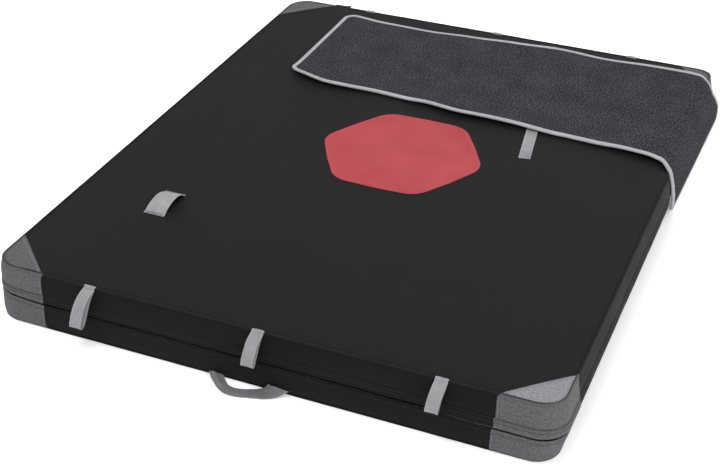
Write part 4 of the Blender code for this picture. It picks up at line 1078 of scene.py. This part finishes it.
def make_bottom():
    """The bottom cloth, pressed up into two channels for the harness."""
    xs = sorted(set(bordered(HALF_WIDTH, 0.030)
                    + [edge + step for edge in CHANNEL_X for step in even(-0.022, 0.022, 0.0055)]))
    by_channels = [y + side * CHANNEL_HALF_WIDTH + step for y in STRAP_ROWS.values() for side in (-1, 1)
                   for step in (-0.008, -0.0045, -0.002, 0, 0.002, 0.0045, 0.008)]
    ys = sorted(set(even(-HALF_LENGTH, -0.15, 0.03) + even(-0.14, 0.14, 0.010)
                    + even(0.15, HALF_LENGTH, 0.02) + by_channels))

    def channel(x, y):
        """How far a point lies inside a channel."""
        best = -1.0
        for middle in STRAP_ROWS.values():
            over_x = max(CHANNEL_X[0] - x, x - CHANNEL_X[1]) + CHANNEL_CORNER
            over_y = abs(y - middle) - CHANNEL_HALF_WIDTH + CHANNEL_CORNER
            best = max(best, CHANNEL_CORNER - math.hypot(max(over_x, 0), max(over_y, 0))
                       - min(max(over_x, over_y), 0))
        return best

    def place(i, j):
        x, y = rounded(xs[i], ys[j])
        pressed = eased((channel(x, y) + 0.003) / 0.006)
        rumple = 0.0005 * ripple(x * 12, y * 12, 0, 14) + 0.0005
        edge = 0.0016 * math.exp(-max(inset_of(x, y), 0) / 0.008)
        height = 0.0003 + edge + max(rumple, 0) * (1 - pressed) + CHANNEL_DEPTH * pressed
        return Vector((x, y, height)) + drift(x, y, 0)

    bottom = make_piece("bottom_cloth", faced(cloth_grid(xs, ys, place), -UP), NYLON, CLOTH)
    settle(bottom, "pad", "cover", *both("bottom_panel"))


def make_foams():
    """The three sheets of foam inside."""
    half_x, half_y = HALF_WIDTH - FOAM_INSET, HALF_LENGTH - FOAM_INSET
    # Each sheet's name, top, thickness, finish, slot and node
    layers = (("base_foam_sheet", 0.0218, 0.0070, FIRM_FOAM, "firm_foam", "base_foam"),
              ("core_foam_sheet", 0.1048, 0.0826, SOFT_FOAM, "soft_foam", "core_foam"),
              ("top_foam_sheet", 0.1248, 0.0196, FIRM_FOAM, "firm_foam", "top_foam"))
    by_sides = [sign * (half_x - step) for sign in (-1, 1) for step in (0.012, 0.025, 0.036)]
    xs = sorted(set(even(-half_x, half_x, 0.045) + by_sides))
    ys = sorted(set(even(-half_y, -0.14, 0.03) + even(-0.14, 0.14, 0.01) + even(0.14, half_y, 0.03)))
    for name, top, thickness, finish, slot, node in layers:
        def place(i, j):
            x, y = rounded(xs[i], ys[j], CORNER_RADIUS, half_x, half_y)
            right, far = math.copysign(1, x), math.copysign(1, y)
            moved = [drift(x, y, h) for h in even(top - thickness, top, 0.01)]
            aside = min(min(out.x * right for out in moved), 0) * right
            along = min(min(out.y * far for out in moved), 0) * far
            return Vector((x + aside, y + along, top + moved[-1].z))

        foam = make_piece(name, cloth_grid(xs, ys, place), finish, thickness)
        settle(foam, "pad", slot, *both(node))


def make_landing_mark():
    """A plain red landing mark with rounded corners, sewn flat to the middle of the top."""
    middle = Vector((0, MARK_Y, 0))
    xs, ys = even(-0.19, 0.19, 0.0095), even(-0.19, 0.19, 0.0085)

    def support(turn):
        """How far the mark reaches in a direction."""
        from_corner = (turn + math.pi / 6) % (math.pi / 3) - math.pi / 6
        return MARK_FLAT_REACH * math.cos(from_corner) + MARK_CORNER

    bm = cloth_grid(xs, ys, lambda i, j: Vector((xs[i], ys[j], 0)) + middle)
    for i in range(90):
        turn = 2 * math.pi * i / 90
        towards = Vector((math.cos(turn), math.sin(turn), 0))
        trim(bm, middle + towards * support(turn), towards)

    def edge(inset):
        """Points on the mark's outline, moved in."""
        points = []
        for i in range(181):
            turn = 2 * math.pi * i / 180
            a, b = turn - 0.001, turn + 0.001
            towards = Vector((math.cos(turn), math.sin(turn), 0))
            slope = (support(b) - support(a)) / (b - a)
            points.append(middle + towards * (support(turn) - inset) + UP.cross(towards) * slope)
        return points

    for vert in bm.verts:
        vert.co = on_top(vert.co.x, vert.co.y, MARK_RISE)
    mark = settle(make_piece("landing_mark", bm, LANDING_CLOTH, MARK_CLOTH), "pad", "cover")
    tracks = [top_track(edge(inset), MARK_RISE + 0.0002) for inset in (0.0025, 0.006)]
    settle(stitch_rows("landing_mark_stitches", tracks, RED_THREAD, MARK_PITCH), "pad", "cover")


# Webbing

def make_hanging_loops():
    """Three loops in the top seam of the front edge, and three in the far one's."""
    for half, end in (("front", -1), ("rear", 1)):
        for position, x in (("left", -LOOP_X), ("middle", 0.0), ("right", LOOP_X)):
            name = f"{half}_{position}"
            seed = 20 + 3 * end + x * 4
            sewn_in = drift(x, end * HALF_LENGTH, SEAM_HEIGHT).y * end
            route = [(x, end * (HALF_LENGTH + sewn_in + out), SEAM_HEIGHT + rise)
                     for out, rise in ((-SEAM_INSET, 0.0006), (-0.0026, 0.0022), (0.0, 0.0026))]
            for k, (out, down) in enumerate(zip(LOOP_OUT, LOOP_DOWN)):
                standout = out * (LOOP_INNER_STANDOUT if k < 4 else LOOP_STANDOUTS[position])
                standout *= FLATTER_LOOPS.get(name, 1.0)
                aside = 0.0012 * ripple(down * 2, out, 0, seed) - down * LOOP_SLANTS[position]
                route.append((x + aside, end * (HALF_LENGTH + 0.0003 + standout),
                              LOOP_SEAM - down * LOOP_DROPS[position]))
            route = smooth_curve(route, 5)
            tilt = Vector((1, 0.03 * ripple(seed, 0, 0), 0)).normalized() * -end
            strip = even_strip(route, tilt, LOOP_WIDTH, 6, lambda t, v:
                               0.0006 * ripple(t * 5, v * 3, seed) - 0.0006 * (2 * v) ** 2)
            loop = make_piece(f"{name}_loop", strip, LOOP_WEBBING, WEBBING)
            settle(loop, f"{half}_half", "webbing", f"{name}_hanging_loop")
            tracks = []
            for at in (17, 19):
                point = route[at]
                ahead = (route[at + 1] - route[at - 1]).normalized()
                up = ahead.cross(tilt).normalized()
                tracks.append([(point + tilt * v + up * 0.0011, up) for v in even(-0.0105, 0.0105, 0.003)])
            stitches = stitch_rows(f"{name}_loop_stitches", tracks, GREY_THREAD, LOOP_PITCH)
            settle(stitches, f"{half}_half", "webbing")


def make_grab_loop():
    """The arched loop near the left front of the top, sewn down at both ends."""
    x, y = GRAB_LOOP_PLACE
    sewn = TOP_PLANE + 0.0003
    along = (-0.5, -0.46, -0.40, -0.28, -0.06, 0.16, 0.32, 0.42, 0.47, 0.5)
    rise = (0.0, 0.0, 0.16, 0.60, 0.98, 1.0, 0.66, 0.20, 0.0, 0.0)
    route = smooth_curve([(x, y + a * GRAB_LOOP_LENGTH, sewn + r * GRAB_LOOP_RISE)
                          for a, r in zip(along, rise)], 5)
    strip = even_strip(route, LEFTWARDS, GRAB_LOOP_WIDTH, 8, lambda t, v:
                       math.sin(math.pi * t) ** 2 * (0.0008 * ripple(t * 3, v * 4, 2) - 0.0050 * v))
    loop = make_piece("grab_loop", faced(strip, UP), GRAB_WEBBING, WEBBING)
    settle(loop, "front_half", "webbing", "top_grab_loop")
    tracks = []
    for point in (route[2], route[6], route[-3], route[-7]):
        tracks.append([(point + LEFTWARDS * v + UP * 0.0021, UP) for v in even(-0.021, 0.021, 0.004)])
    settle(stitch_rows("grab_loop_stitches", tracks, DARK_THREAD, TAB_PITCH), "front_half", "webbing")


def make_top_tab():
    """The flat tab on the top that runs under the carpet flap, with a boxed cross of stitches."""
    start, finish = Vector(TOP_TAB_ENDS[0]), Vector(TOP_TAB_ENDS[1])
    route = []
    for i in range(27):
        point = start.lerp(finish, i / 26)
        fold = 0.0011 * math.exp(-((point.y - 0.183) / 0.004) ** 2)
        route.append(on_top(point.x, point.y, 0.0012 + fold))
    across = (finish - start).cross(UP).normalized()
    strip = even_strip(route, across, TOP_TAB_WIDTH, 6, lambda t, v: 0.0003 * ripple(t * 9, v * 4, 5))
    tab = make_piece("top_tab", faced(strip, UP), LOOP_WEBBING, WEBBING)
    settle(tab, "rear_half", "webbing", "rear_top_tab")
    near, far, aside = 0.03, 0.2, across * 0.0105
    box = [start.lerp(finish, near) - aside, start.lerp(finish, near) + aside,
           start.lerp(finish, far) + aside, start.lerp(finish, far) - aside]
    route = box + [box[0], box[2]]
    round_and_across = [point for a, b in zip(route, route[1:]) for point in (a, a.lerp(b, 0.5), b)]
    tracks = [top_track(round_and_across, 0.0026), top_track([box[1], box[3]], 0.0026)]
    settle(stitch_rows("top_tab_stitches", tracks, GREY_THREAD, TAB_PITCH), "rear_half", "webbing")


def make_seam_tab():
    """The small black tab in the far top seam."""
    side_view = ((0.7258, 0.1272), (0.733, 0.1276), (0.740, 0.1270), (0.7445, 0.1262))
    route = smooth_curve([(SEAM_TAB_X, y, z) for y, z in side_view], 4)
    strip = even_strip(route, LEFTWARDS, SEAM_TAB_WIDTH, 8, lambda t, v:
                       0.0022 * t * eased(-v * 2) + 0.0004 * ripple(t * 3, v * 6, 3))
    tab = make_piece("seam_tab", faced(strip, UP), BLACK_WEBBING, SEAM_TAB_THICKNESS)
    settle(tab, "rear_half", "black_webbing", "rear_seam_tab")


def make_handle():
    """The handle lies in front of the pad, folded at its left root and fanned out at its right one."""
    route = smooth_curve([point[:3] for point in HANDLE_POINTS], 6)
    acrosses, widths = [], []
    for i in range(len(route)):
        t = i / (len(route) - 1)
        ahead = route[min(i + 1, len(route) - 1)] - route[max(i - 1, 0)]
        square = Vector((-ahead.y, ahead.x, 0)).normalized()
        sewn = Vector((1, 0, 0)) if t < 0.5 else Vector((-1, 0, 0.12))
        at_root = eased(1 - t / 0.12) + eased((t - 0.72) / 0.28)
        acrosses.append(square.lerp(sewn, at_root).normalized())
        widths.append(wave_between([point[3] for point in HANDLE_POINTS], t))

    def shape(t, v):
        fold = eased((0.34 - t) / 0.2)
        fan = eased((t - 0.70) / 0.2)
        rise = 0.0058 * fold * math.exp(-((v + 0.12) / 0.16) ** 2)
        rise += 0.0052 * fan * math.exp(-((v - 0.30) / 0.13) ** 2)
        return rise + 0.0005 * ripple(t * 7, v * 4, 9) - 0.0006 * (2 * v) ** 2

    strip = webbing_strip(route, acrosses, widths, 10, shape)
    handle = make_piece("handle", faced(strip, UP), HANDLE_WEBBING, WEBBING)
    settle(handle, "carrying", "webbing", "carry_handle")


# The carpet flap

FLAP_LINE = smooth_curve([(x, 0, z) for x, z in FLAP_PROFILE], 4)
FLAP_RUNS = run_lengths(FLAP_LINE)
FLAP_FLAT = FLAP_BEND_X - FLAP_LEFT_X
FLAP_LENGTH = FLAP_FLAT + FLAP_RUNS[-1]


def flap_spine(p):
    """Underside of the flap and the direction out of it, at a distance from its left end."""
    reach = p - FLAP_FLAT
    if reach <= 0:
        return Vector((FLAP_LEFT_X + p, 0, FLAP_REST)), UP
    i = max(k for k, run in enumerate(FLAP_RUNS[:-1]) if run <= reach)
    share = (reach - FLAP_RUNS[i]) / (FLAP_RUNS[i + 1] - FLAP_RUNS[i])

    def out_at(k):
        ahead = FLAP_LINE[min(k + 1, len(FLAP_LINE) - 1)] - FLAP_LINE[max(k - 1, 0)]
        return Vector((-ahead.z, 0, ahead.x)).normalized()

    return FLAP_LINE[i].lerp(FLAP_LINE[i + 1], share), out_at(i).lerp(out_at(i + 1), share).normalized()


def flap_edges(p):
    """Where the flap's near and far edges lie, at a distance from its left end."""
    down = max(p - FLAP_FLAT, 0) / FLAP_RUNS[-1]
    position = p / FLAP_FLAT
    near = FLAP_NEAR_Y + FLAP_WAVINESS * wave_between(FLAP_NEAR_WAVES, position)
    far = FLAP_FAR_Y + FLAP_WAVINESS * wave_between(FLAP_FAR_WAVES, position)
    return near + wave_between(FLAP_NEAR_HANG, down), far + wave_between(FLAP_FAR_HANG, down)


def flap_point(p, q, out):
    """A point of the flap: p from its left end, q from its near edge, out from its underside."""
    middle, up = flap_spine(p)
    near, far = flap_edges(p)
    y = near + (far - near) * q / FLAP_WIDTH
    to_edge = min(q, FLAP_WIDTH - q)
    border = min(max(1 - to_edge / BORDER_REACH, 0), 1)
    wave = (1 + math.cos(2 * math.pi * (FLAP_LEFT_X + p - WAVE_CREST_X) / WAVE_LENGTH)) / 2
    on_pad = eased((FLAP_FLAT + 0.015 - p) / 0.05)
    lift = BORDER_LIFT * border**2 * wave * on_pad * (1.0 if q < FLAP_WIDTH / 2 else FAR_BORDER_SHARE)
    lift += 0.0006 * (1 + ripple(p * 9, q * 9, 0, 13)) * on_pad
    lift += 0.0016 * ripple(p * 5, q * 8, 0, 15) * (1 - on_pad) * eased((FLAP_LENGTH - p) / 0.05)
    flared = 0.010 * q / FLAP_WIDTH * eased((0.110 - middle.z) / 0.06)
    return middle + Vector((flared, y, 0)) + up * (out + lift)


def flap_rounded(p, q, inset=0.0):
    """Rounds the corners of the flap's flat cut, as measured from its left end and near edge."""
    half_p, half_q = FLAP_LENGTH / 2 - inset, FLAP_WIDTH / 2 - inset
    radius = (FLAP_LEFT_CORNER if p < half_p else FLAP_RIGHT_CORNER) - inset
    x, y = rounded(p - FLAP_LENGTH / 2, q - FLAP_WIDTH / 2, radius, half_p, half_q)
    return x + FLAP_LENGTH / 2, y + FLAP_WIDTH / 2


def flap_sheet(name, out, thickness, finish, slot, *nodes):
    """One layer of the flap, with its outer face at a height over the flap's underside."""
    inset = 0.0015
    edges = [inset + row for row in (0, 0.006, 0.012, 0.020, 0.030, 0.042, 0.056)]
    ps = edges + even(0.070, FLAP_FLAT, 0.0125) + even(FLAP_FLAT + 0.005, FLAP_LENGTH - inset, 0.005)
    qs = edges + even(0.070, FLAP_WIDTH - 0.070, 0.012) + [FLAP_WIDTH - edge for edge in edges[::-1]]

    def place(i, j):
        p, q = flap_rounded(ps[i], qs[j], inset)
        return flap_point(p, q, out)

    sheet = make_piece(name, cloth_grid(ps, qs, place), finish, thickness)
    settle(sheet, "flap", slot, *nodes)


def flap_edge():
    """Round the flap's flat cut: the point on its edge, and the direction in from it."""
    track = []
    half_p, half_q = FLAP_LENGTH / 2, FLAP_WIDTH / 2
    corners = [(Vector((half_p, -half_q)), FLAP_RIGHT_CORNER), (Vector((half_p, half_q)), FLAP_RIGHT_CORNER),
               (Vector((-half_p, half_q)), FLAP_LEFT_CORNER), (Vector((-half_p, -half_q)), FLAP_LEFT_CORNER)]
    for (start, before), (finish, after) in zip(corners, corners[1:] + corners[:1]):
        ahead = (finish - start).normalized()
        inward = Vector((-ahead.y, ahead.x))
        a, b = start + ahead * before, finish - ahead * after
        count = round((b - a).length / 0.0075)
        track += [(a.lerp(b, i / count), inward) for i in range(count + 1)]
        centre = b + inward * after
        steps = round(after * math.pi / 2 / 0.005)
        for i in range(1, steps):
            angle = math.pi / 2 * i / steps
            out = -inward * math.cos(angle) + ahead * math.sin(angle)
            track.append((centre + out * after, -out))
    track.append(track[0])
    return [(point + Vector((half_p, half_q)), inward) for point, inward in track]


def make_flap():
    """The carpet and its backing, the binding folded over their edge, and the hem that holds the flap."""
    flap_sheet("flap_backing", BACKING_OVER, BACKING_CLOTH, BACKING, "cover",
               "flap_top_backing", "flap_side_backing")
    flap_sheet("flap_carpet", CARPET_OVER, CARPET_OVER - CARPET_UNDER, CARPET, "carpet",
               "flap_top_carpet", "flap_side_carpet")
    track = flap_edge()
    high, low = CARPET_OVER, 0.0010
    section = ((BINDING_WIDTH, high + 0.0001), (BINDING_WIDTH - 0.001, high + 0.0007),
               (0.0075, high + 0.0010), (0.0040, high + 0.0010), (0.0018, high + 0.0004),
               (0.0005, high - 0.0012), (0, (high + low) / 2), (0.0005, low + 0.0008),
               (0.0018, low), (0.0040, low - 0.0004), (BINDING_WIDTH, low))
    around = run_lengths([point for point, _ in track])
    across = run_lengths([Vector(spot) for spot in section])

    def place(i, j):
        (point, inward), (into, out) = track[i], section[j]
        spot = point + inward * into
        pinch = 0.0004 * ripple(around[i] * 60, 0, 0, 16) * (into > 0.004)
        return flap_point(spot.x, spot.y, out + pinch)

    bm = cloth_grid(around, across, place)
    bmesh.ops.recalc_face_normals(bm, faces=bm.faces)
    faced_out = max(bm.faces, key=lambda face: face.calc_center_median().z)
    if faced_out.normal.z < 0:
        bmesh.ops.reverse_faces(bm, faces=bm.faces)
    binding = make_piece("flap_binding", bm, BINDING, BINDING_TAPE)
    settle(binding, "flap", "binding", "flap_top_binding", "flap_side_binding")
    row = []
    stitch_inset, stitch_rise = 0.0088, 0.0011
    for point, inward in track:
        spot = point + inward * stitch_inset
        on = flap_point(spot.x, spot.y, high + stitch_rise)
        over = flap_point(spot.x, spot.y, high + stitch_rise + 0.01)
        row.append((on, (over - on).normalized()))
    settle(stitch_rows("flap_binding_stitches", [row], PALE_THREAD, BINDING_PITCH), "flap", "binding")

    turns = full_turn(8)
    ys = even(*HEM_ENDS, 0.012)

    def hem_place(i, j):
        return Vector((HEM_X + 0.0026 * math.cos(turns[j]), ys[i], 0.0026 - 0.0019 * math.sin(turns[j])))

    settle(make_piece("hem_strip", closed(cloth_grid(ys, turns, hem_place)), NYLON), "rear_half", "cover",
           "flap_hem")


# The zip's slider and the harness

def make_slider():
    """The zip's slider, on the far side."""
    far_round, side_round = 0.0009, 0.0008
    bm = bmesh.new()
    low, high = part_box("zip_slider")
    middle, size = (low + high) / 2, high - low
    bmesh.ops.create_cube(bm, size=1, matrix=Matrix.Translation(middle) @ Matrix.Diagonal((*size, 1)))
    far = [edge for edge in bm.edges if min(vert.co.y for vert in edge.verts) > middle.y]
    bmesh.ops.bevel(bm, geom=far, offset=far_round, segments=3, affect="EDGES", profile=0.5, material=-1)
    through = [edge for edge in bm.edges if abs(edge.verts[0].co.y - edge.verts[1].co.y) > 0.001]
    bmesh.ops.bevel(bm, geom=through, offset=side_round, segments=2, affect="EDGES", profile=0.5, material=-1)
    settle(make_piece("slider_body", bm, PLASTIC), "slider", "plastic", "zip_slider")


def make_puller():
    """The slider's pull tab: a flat plate with round ends and a raised rim."""
    low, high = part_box("zip_puller")
    round_end, straight, thickness = 0.0035, 0.0190, 0.0013
    rim, rim_height, end_gap = 0.0009, 0.0003, 0.0008
    bm = bmesh.new()
    bmesh.ops.create_circle(bm, cap_ends=True, segments=32, radius=round_end)
    for vert in bm.verts:
        vert.co.y -= round_end + (straight if vert.co.y < 0 else 0)
    bmesh.ops.inset_region(bm, faces=bm.faces[:], thickness=rim)
    middle_face = max(bm.faces, key=lambda face: face.calc_area())
    bmesh.ops.translate(bm, verts=middle_face.verts, vec=(0, 0, -rim_height))
    bmesh.ops.solidify(bm, geom=bm.faces[:], thickness=thickness)
    bmesh.ops.recalc_face_normals(bm, faces=bm.faces)
    top = Vector(((low.x + high.x) / 2, low.y + end_gap, high.z))
    foot = Vector((top.x, high.y - end_gap, low.z))
    down = (top - foot).normalized()
    turn = Matrix((LEFTWARDS, down, LEFTWARDS.cross(down))).transposed().to_4x4()
    bmesh.ops.transform(bm, matrix=Matrix.Translation(top) @ turn, verts=bm.verts)
    settle(make_piece("puller_plate", bm, PLASTIC), "puller", "plastic", "zip_puller")


def strap_half_width(share):
    """Half the width of a shoulder strap at a share of its length."""
    widths = smooth_curve([(0.0, 0.0218, 0), (0.12, 0.031, 0), (0.30, 0.035, 0), (0.60, 0.035, 0),
                           (0.85, 0.026, 0), (1.0, 0.015, 0)], 6)
    i = max(k for k, point in enumerate(widths[:-1]) if point.x <= share + 1e-9)
    a, b = widths[i], widths[i + 1]
    return a.y + (b.y - a.y) * (share - a.x) / (b.x - a.x)


def strap_edge(y, side, share, inset):
    """A point by one edge of a strap, at a share of its length."""
    return Vector((STRAP_START + share * STRAP_LENGTH, y + side * (strap_half_width(share) - inset),
                   STRAP_LEVEL))


def make_strap_pad(name, y):
    """A strap's padding, thick in the middle and thin at its edges and ends."""
    shares = [0.0, 0.003, 0.008, 0.018] + even(0.03, 0.97, 0.0125) + [0.982, 0.992, 0.997, 1.0]
    turns = full_turn(28)

    def place(i, j):
        share = shares[i]
        cap = math.sqrt(max(1 - ((max(0.02 - share, share - 0.98, 0)) / 0.02) ** 2, 0))
        across, rise = math.cos(turns[j]), math.sin(turns[j])
        wide = math.copysign(abs(across) ** 0.55, across) * strap_half_width(share)
        pinch = 0.75 + 0.25 * min(abs(abs(share - 0.5) * 12 % 1 - 0.5) * 4, 1) if rise < 0 else 1
        thick = math.copysign(abs(rise) ** 0.62, rise) * STRAP_HALF_THICKNESS * cap * pinch
        return Vector((STRAP_START + share * STRAP_LENGTH, y + wide * (0.75 + 0.25 * cap),
                       STRAP_LEVEL - thick))

    strap = make_piece(f"{name}_strap_pad", closed(cloth_grid(shares, turns, place)), NYLON)
    settle(strap, "rear_half", "cover", f"{name}_shoulder_strap")


def make_strap_edging(name, y):
    """The bound edge round a strap, and the rows of stitches along it."""
    shares = even(0.02, 0.98, 0.02)
    track = [strap_edge(y, -1, share, 0.0003) for share in shares]
    track += [strap_edge(y, 1, share, 0.0003) for share in reversed(shares)]
    track.append(track[0])
    rounds = full_turn(8)
    bead_out, bead_up = 0.0014, 0.0026

    def place(i, j):
        k = i % (len(track) - 1)
        ahead = (track[k + 1] - track[k - 1 if k else -2]).normalized()
        out = Vector((-ahead.y, ahead.x, 0))
        return track[k] + out * bead_out * math.cos(rounds[j]) + UP * bead_up * math.sin(rounds[j])

    bm = closed(cloth_grid(run_lengths(track), rounds, place))
    settle(make_piece(f"{name}_strap_edging", bm, DARK_BINDING), "rear_half", "cover")
    under, from_edge = Vector((0, 0, 0.0042)), 0.006
    rows = [[(strap_edge(y, side, share, from_edge) - under, -UP) for share in even(0.03, 0.97, 0.02)]
            for side in (-1, 1)]
    settle(stitch_rows(f"{name}_strap_stitches", rows, DARK_THREAD), "rear_half", "cover")


def make_strap_tape(name, y):
    """The webbing that turns round the buckle's bar: one end is sewn in, the other hangs free."""
    buckle_end = STRAP_START + STRAP_LENGTH + BUCKLE_GAP + BUCKLE_LENGTH
    bar_x, wrap = buckle_end - BUCKLE_BAR_BACK, BUCKLE_GAP + 0.0008
    strands = {}
    for side, end_x in ((1, CHANNEL_X[1] - 0.0003), (-1, buckle_end + TAPE_TAIL)):
        bar_edge = STRAP_LEVEL + side * BUCKLE_BAR_HALF
        strands[side] = [Vector((end_x + (buckle_end - end_x) * i / 10, y, bar_edge + side * wrap))
                         for i in range(11)]
        for i in range(4):
            turn = math.pi / 2 * i / 3
            strands[side].append(Vector((bar_x - wrap * math.sin(turn), y,
                                         bar_edge + side * wrap * math.cos(turn))))
    route = strands[1] + strands[-1][::-1]
    strip = even_strip(route, Vector((0, 1, 0)), STRAP_TAPE_WIDTH, 4)
    webbing = make_piece(f"{name}_strap_tape", strip, BLACK_WEBBING, STRAP_TAPE)
    settle(webbing, "rear_half", "black_webbing", f"{name}_strap_webbing")


def make_harness():
    """Two padded shoulder straps with ladder-lock buckles, lying in the underside's channels."""
    for name, y in STRAP_ROWS.items():
        make_strap_pad(name, y)
        make_strap_edging(name, y)
        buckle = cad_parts[f"{name}_strap_buckle"]
        buckle.data.materials.clear()
        buckle.data.materials.append(PLASTIC)
        make_strap_tape(name, y)


# The studio

def make_studio():
    """A white floor and background, and three soft lamps."""
    bm = bmesh.new()
    bmesh.ops.create_grid(bm, x_segments=1, y_segments=1, size=12)
    bmesh.ops.translate(bm, verts=bm.verts, vec=(0, 0, -0.0004))
    paper = Finish("studio_floor", 0.9, Emission_Color=(1, 1, 1, 1), Emission_Strength=0.28)
    grain = paper.blotches(paper.place(), 0.8, 2)
    floor = make_piece("studio_floor", bm, paper.dress(
        paper.mixed(paper.span(grain, 0.3, 0.7), (0.90, 0.90, 0.90, 1), (0.92, 0.92, 0.92, 1))))

    world = bpy.data.worlds.new("studio")
    bpy.context.scene.world = world
    bpy.context.scene.view_settings.view_transform = "Standard"
    world.use_nodes = True
    world.node_tree.nodes["Background"].inputs["Color"].default_value = (1.0, 1.0, 1.0, 1.0)
    world.node_tree.nodes["Background"].inputs["Strength"].default_value = 0.85

    def lamp(name, place, aim, size, power):
        light = bpy.data.lights.new(name, "AREA")
        light.shape, light.size, light.energy = "DISK", size, power
        obj = bpy.data.objects.new(name, light)
        bpy.context.scene.collection.objects.link(obj)
        obj.location = place
        obj.rotation_euler = (Vector(aim) - Vector(place)).to_track_quat("-Z", "Y").to_euler()

    lamp("key_light", place=(-0.9, -1.2, 3.7), aim=(0, 0, 0), size=2.4, power=58)
    lamp("far_light", place=(0.8, 3.2, 2.6), aim=(0, 0.2, 0), size=2.2, power=34)
    lamp("right_light", place=(3.3, -1.7, 1.4), aim=(0.3, -0.3, 0), size=1.6, power=42)


def make_camera():
    """The photograph's view, solved from the straight edges of the pad."""
    place, lens = (0.972, -2.589, 1.686), 69.71
    azimuth, elevation, roll = math.radians(22.35), math.radians(32.51), math.radians(-0.51)
    view = Vector((-math.sin(azimuth) * math.cos(elevation), math.cos(azimuth) * math.cos(elevation),
                   -math.sin(elevation)))
    level = view.cross(UP).normalized()
    down = view.cross(level)
    right = level * math.cos(roll) + down * math.sin(roll)
    up = level * math.sin(roll) - down * math.cos(roll)
    camera = bpy.data.cameras.new("camera")
    camera.sensor_width, camera.sensor_fit, camera.lens = 36, "HORIZONTAL", lens
    eye = bpy.data.objects.new("camera", camera)
    bpy.context.scene.collection.objects.link(eye)
    turn = Matrix((right, up, -view)).transposed().to_4x4()
    eye.matrix_world = Matrix.Translation(place) @ turn
    bpy.context.scene.camera = eye


make_camera()
make_studio()
rings = make_cover()
make_beads(rings)
make_seams(rings)
for corner, corner_centre in CORNERS.items():
    make_corner(corner, corner_centre)
make_bottom()
make_foams()
make_landing_mark()
make_hanging_loops()
make_grab_loop()
make_top_tab()
make_seam_tab()
make_handle()
make_flap()
make_slider()
make_puller()
make_harness()
bpy.context.view_layer.update()
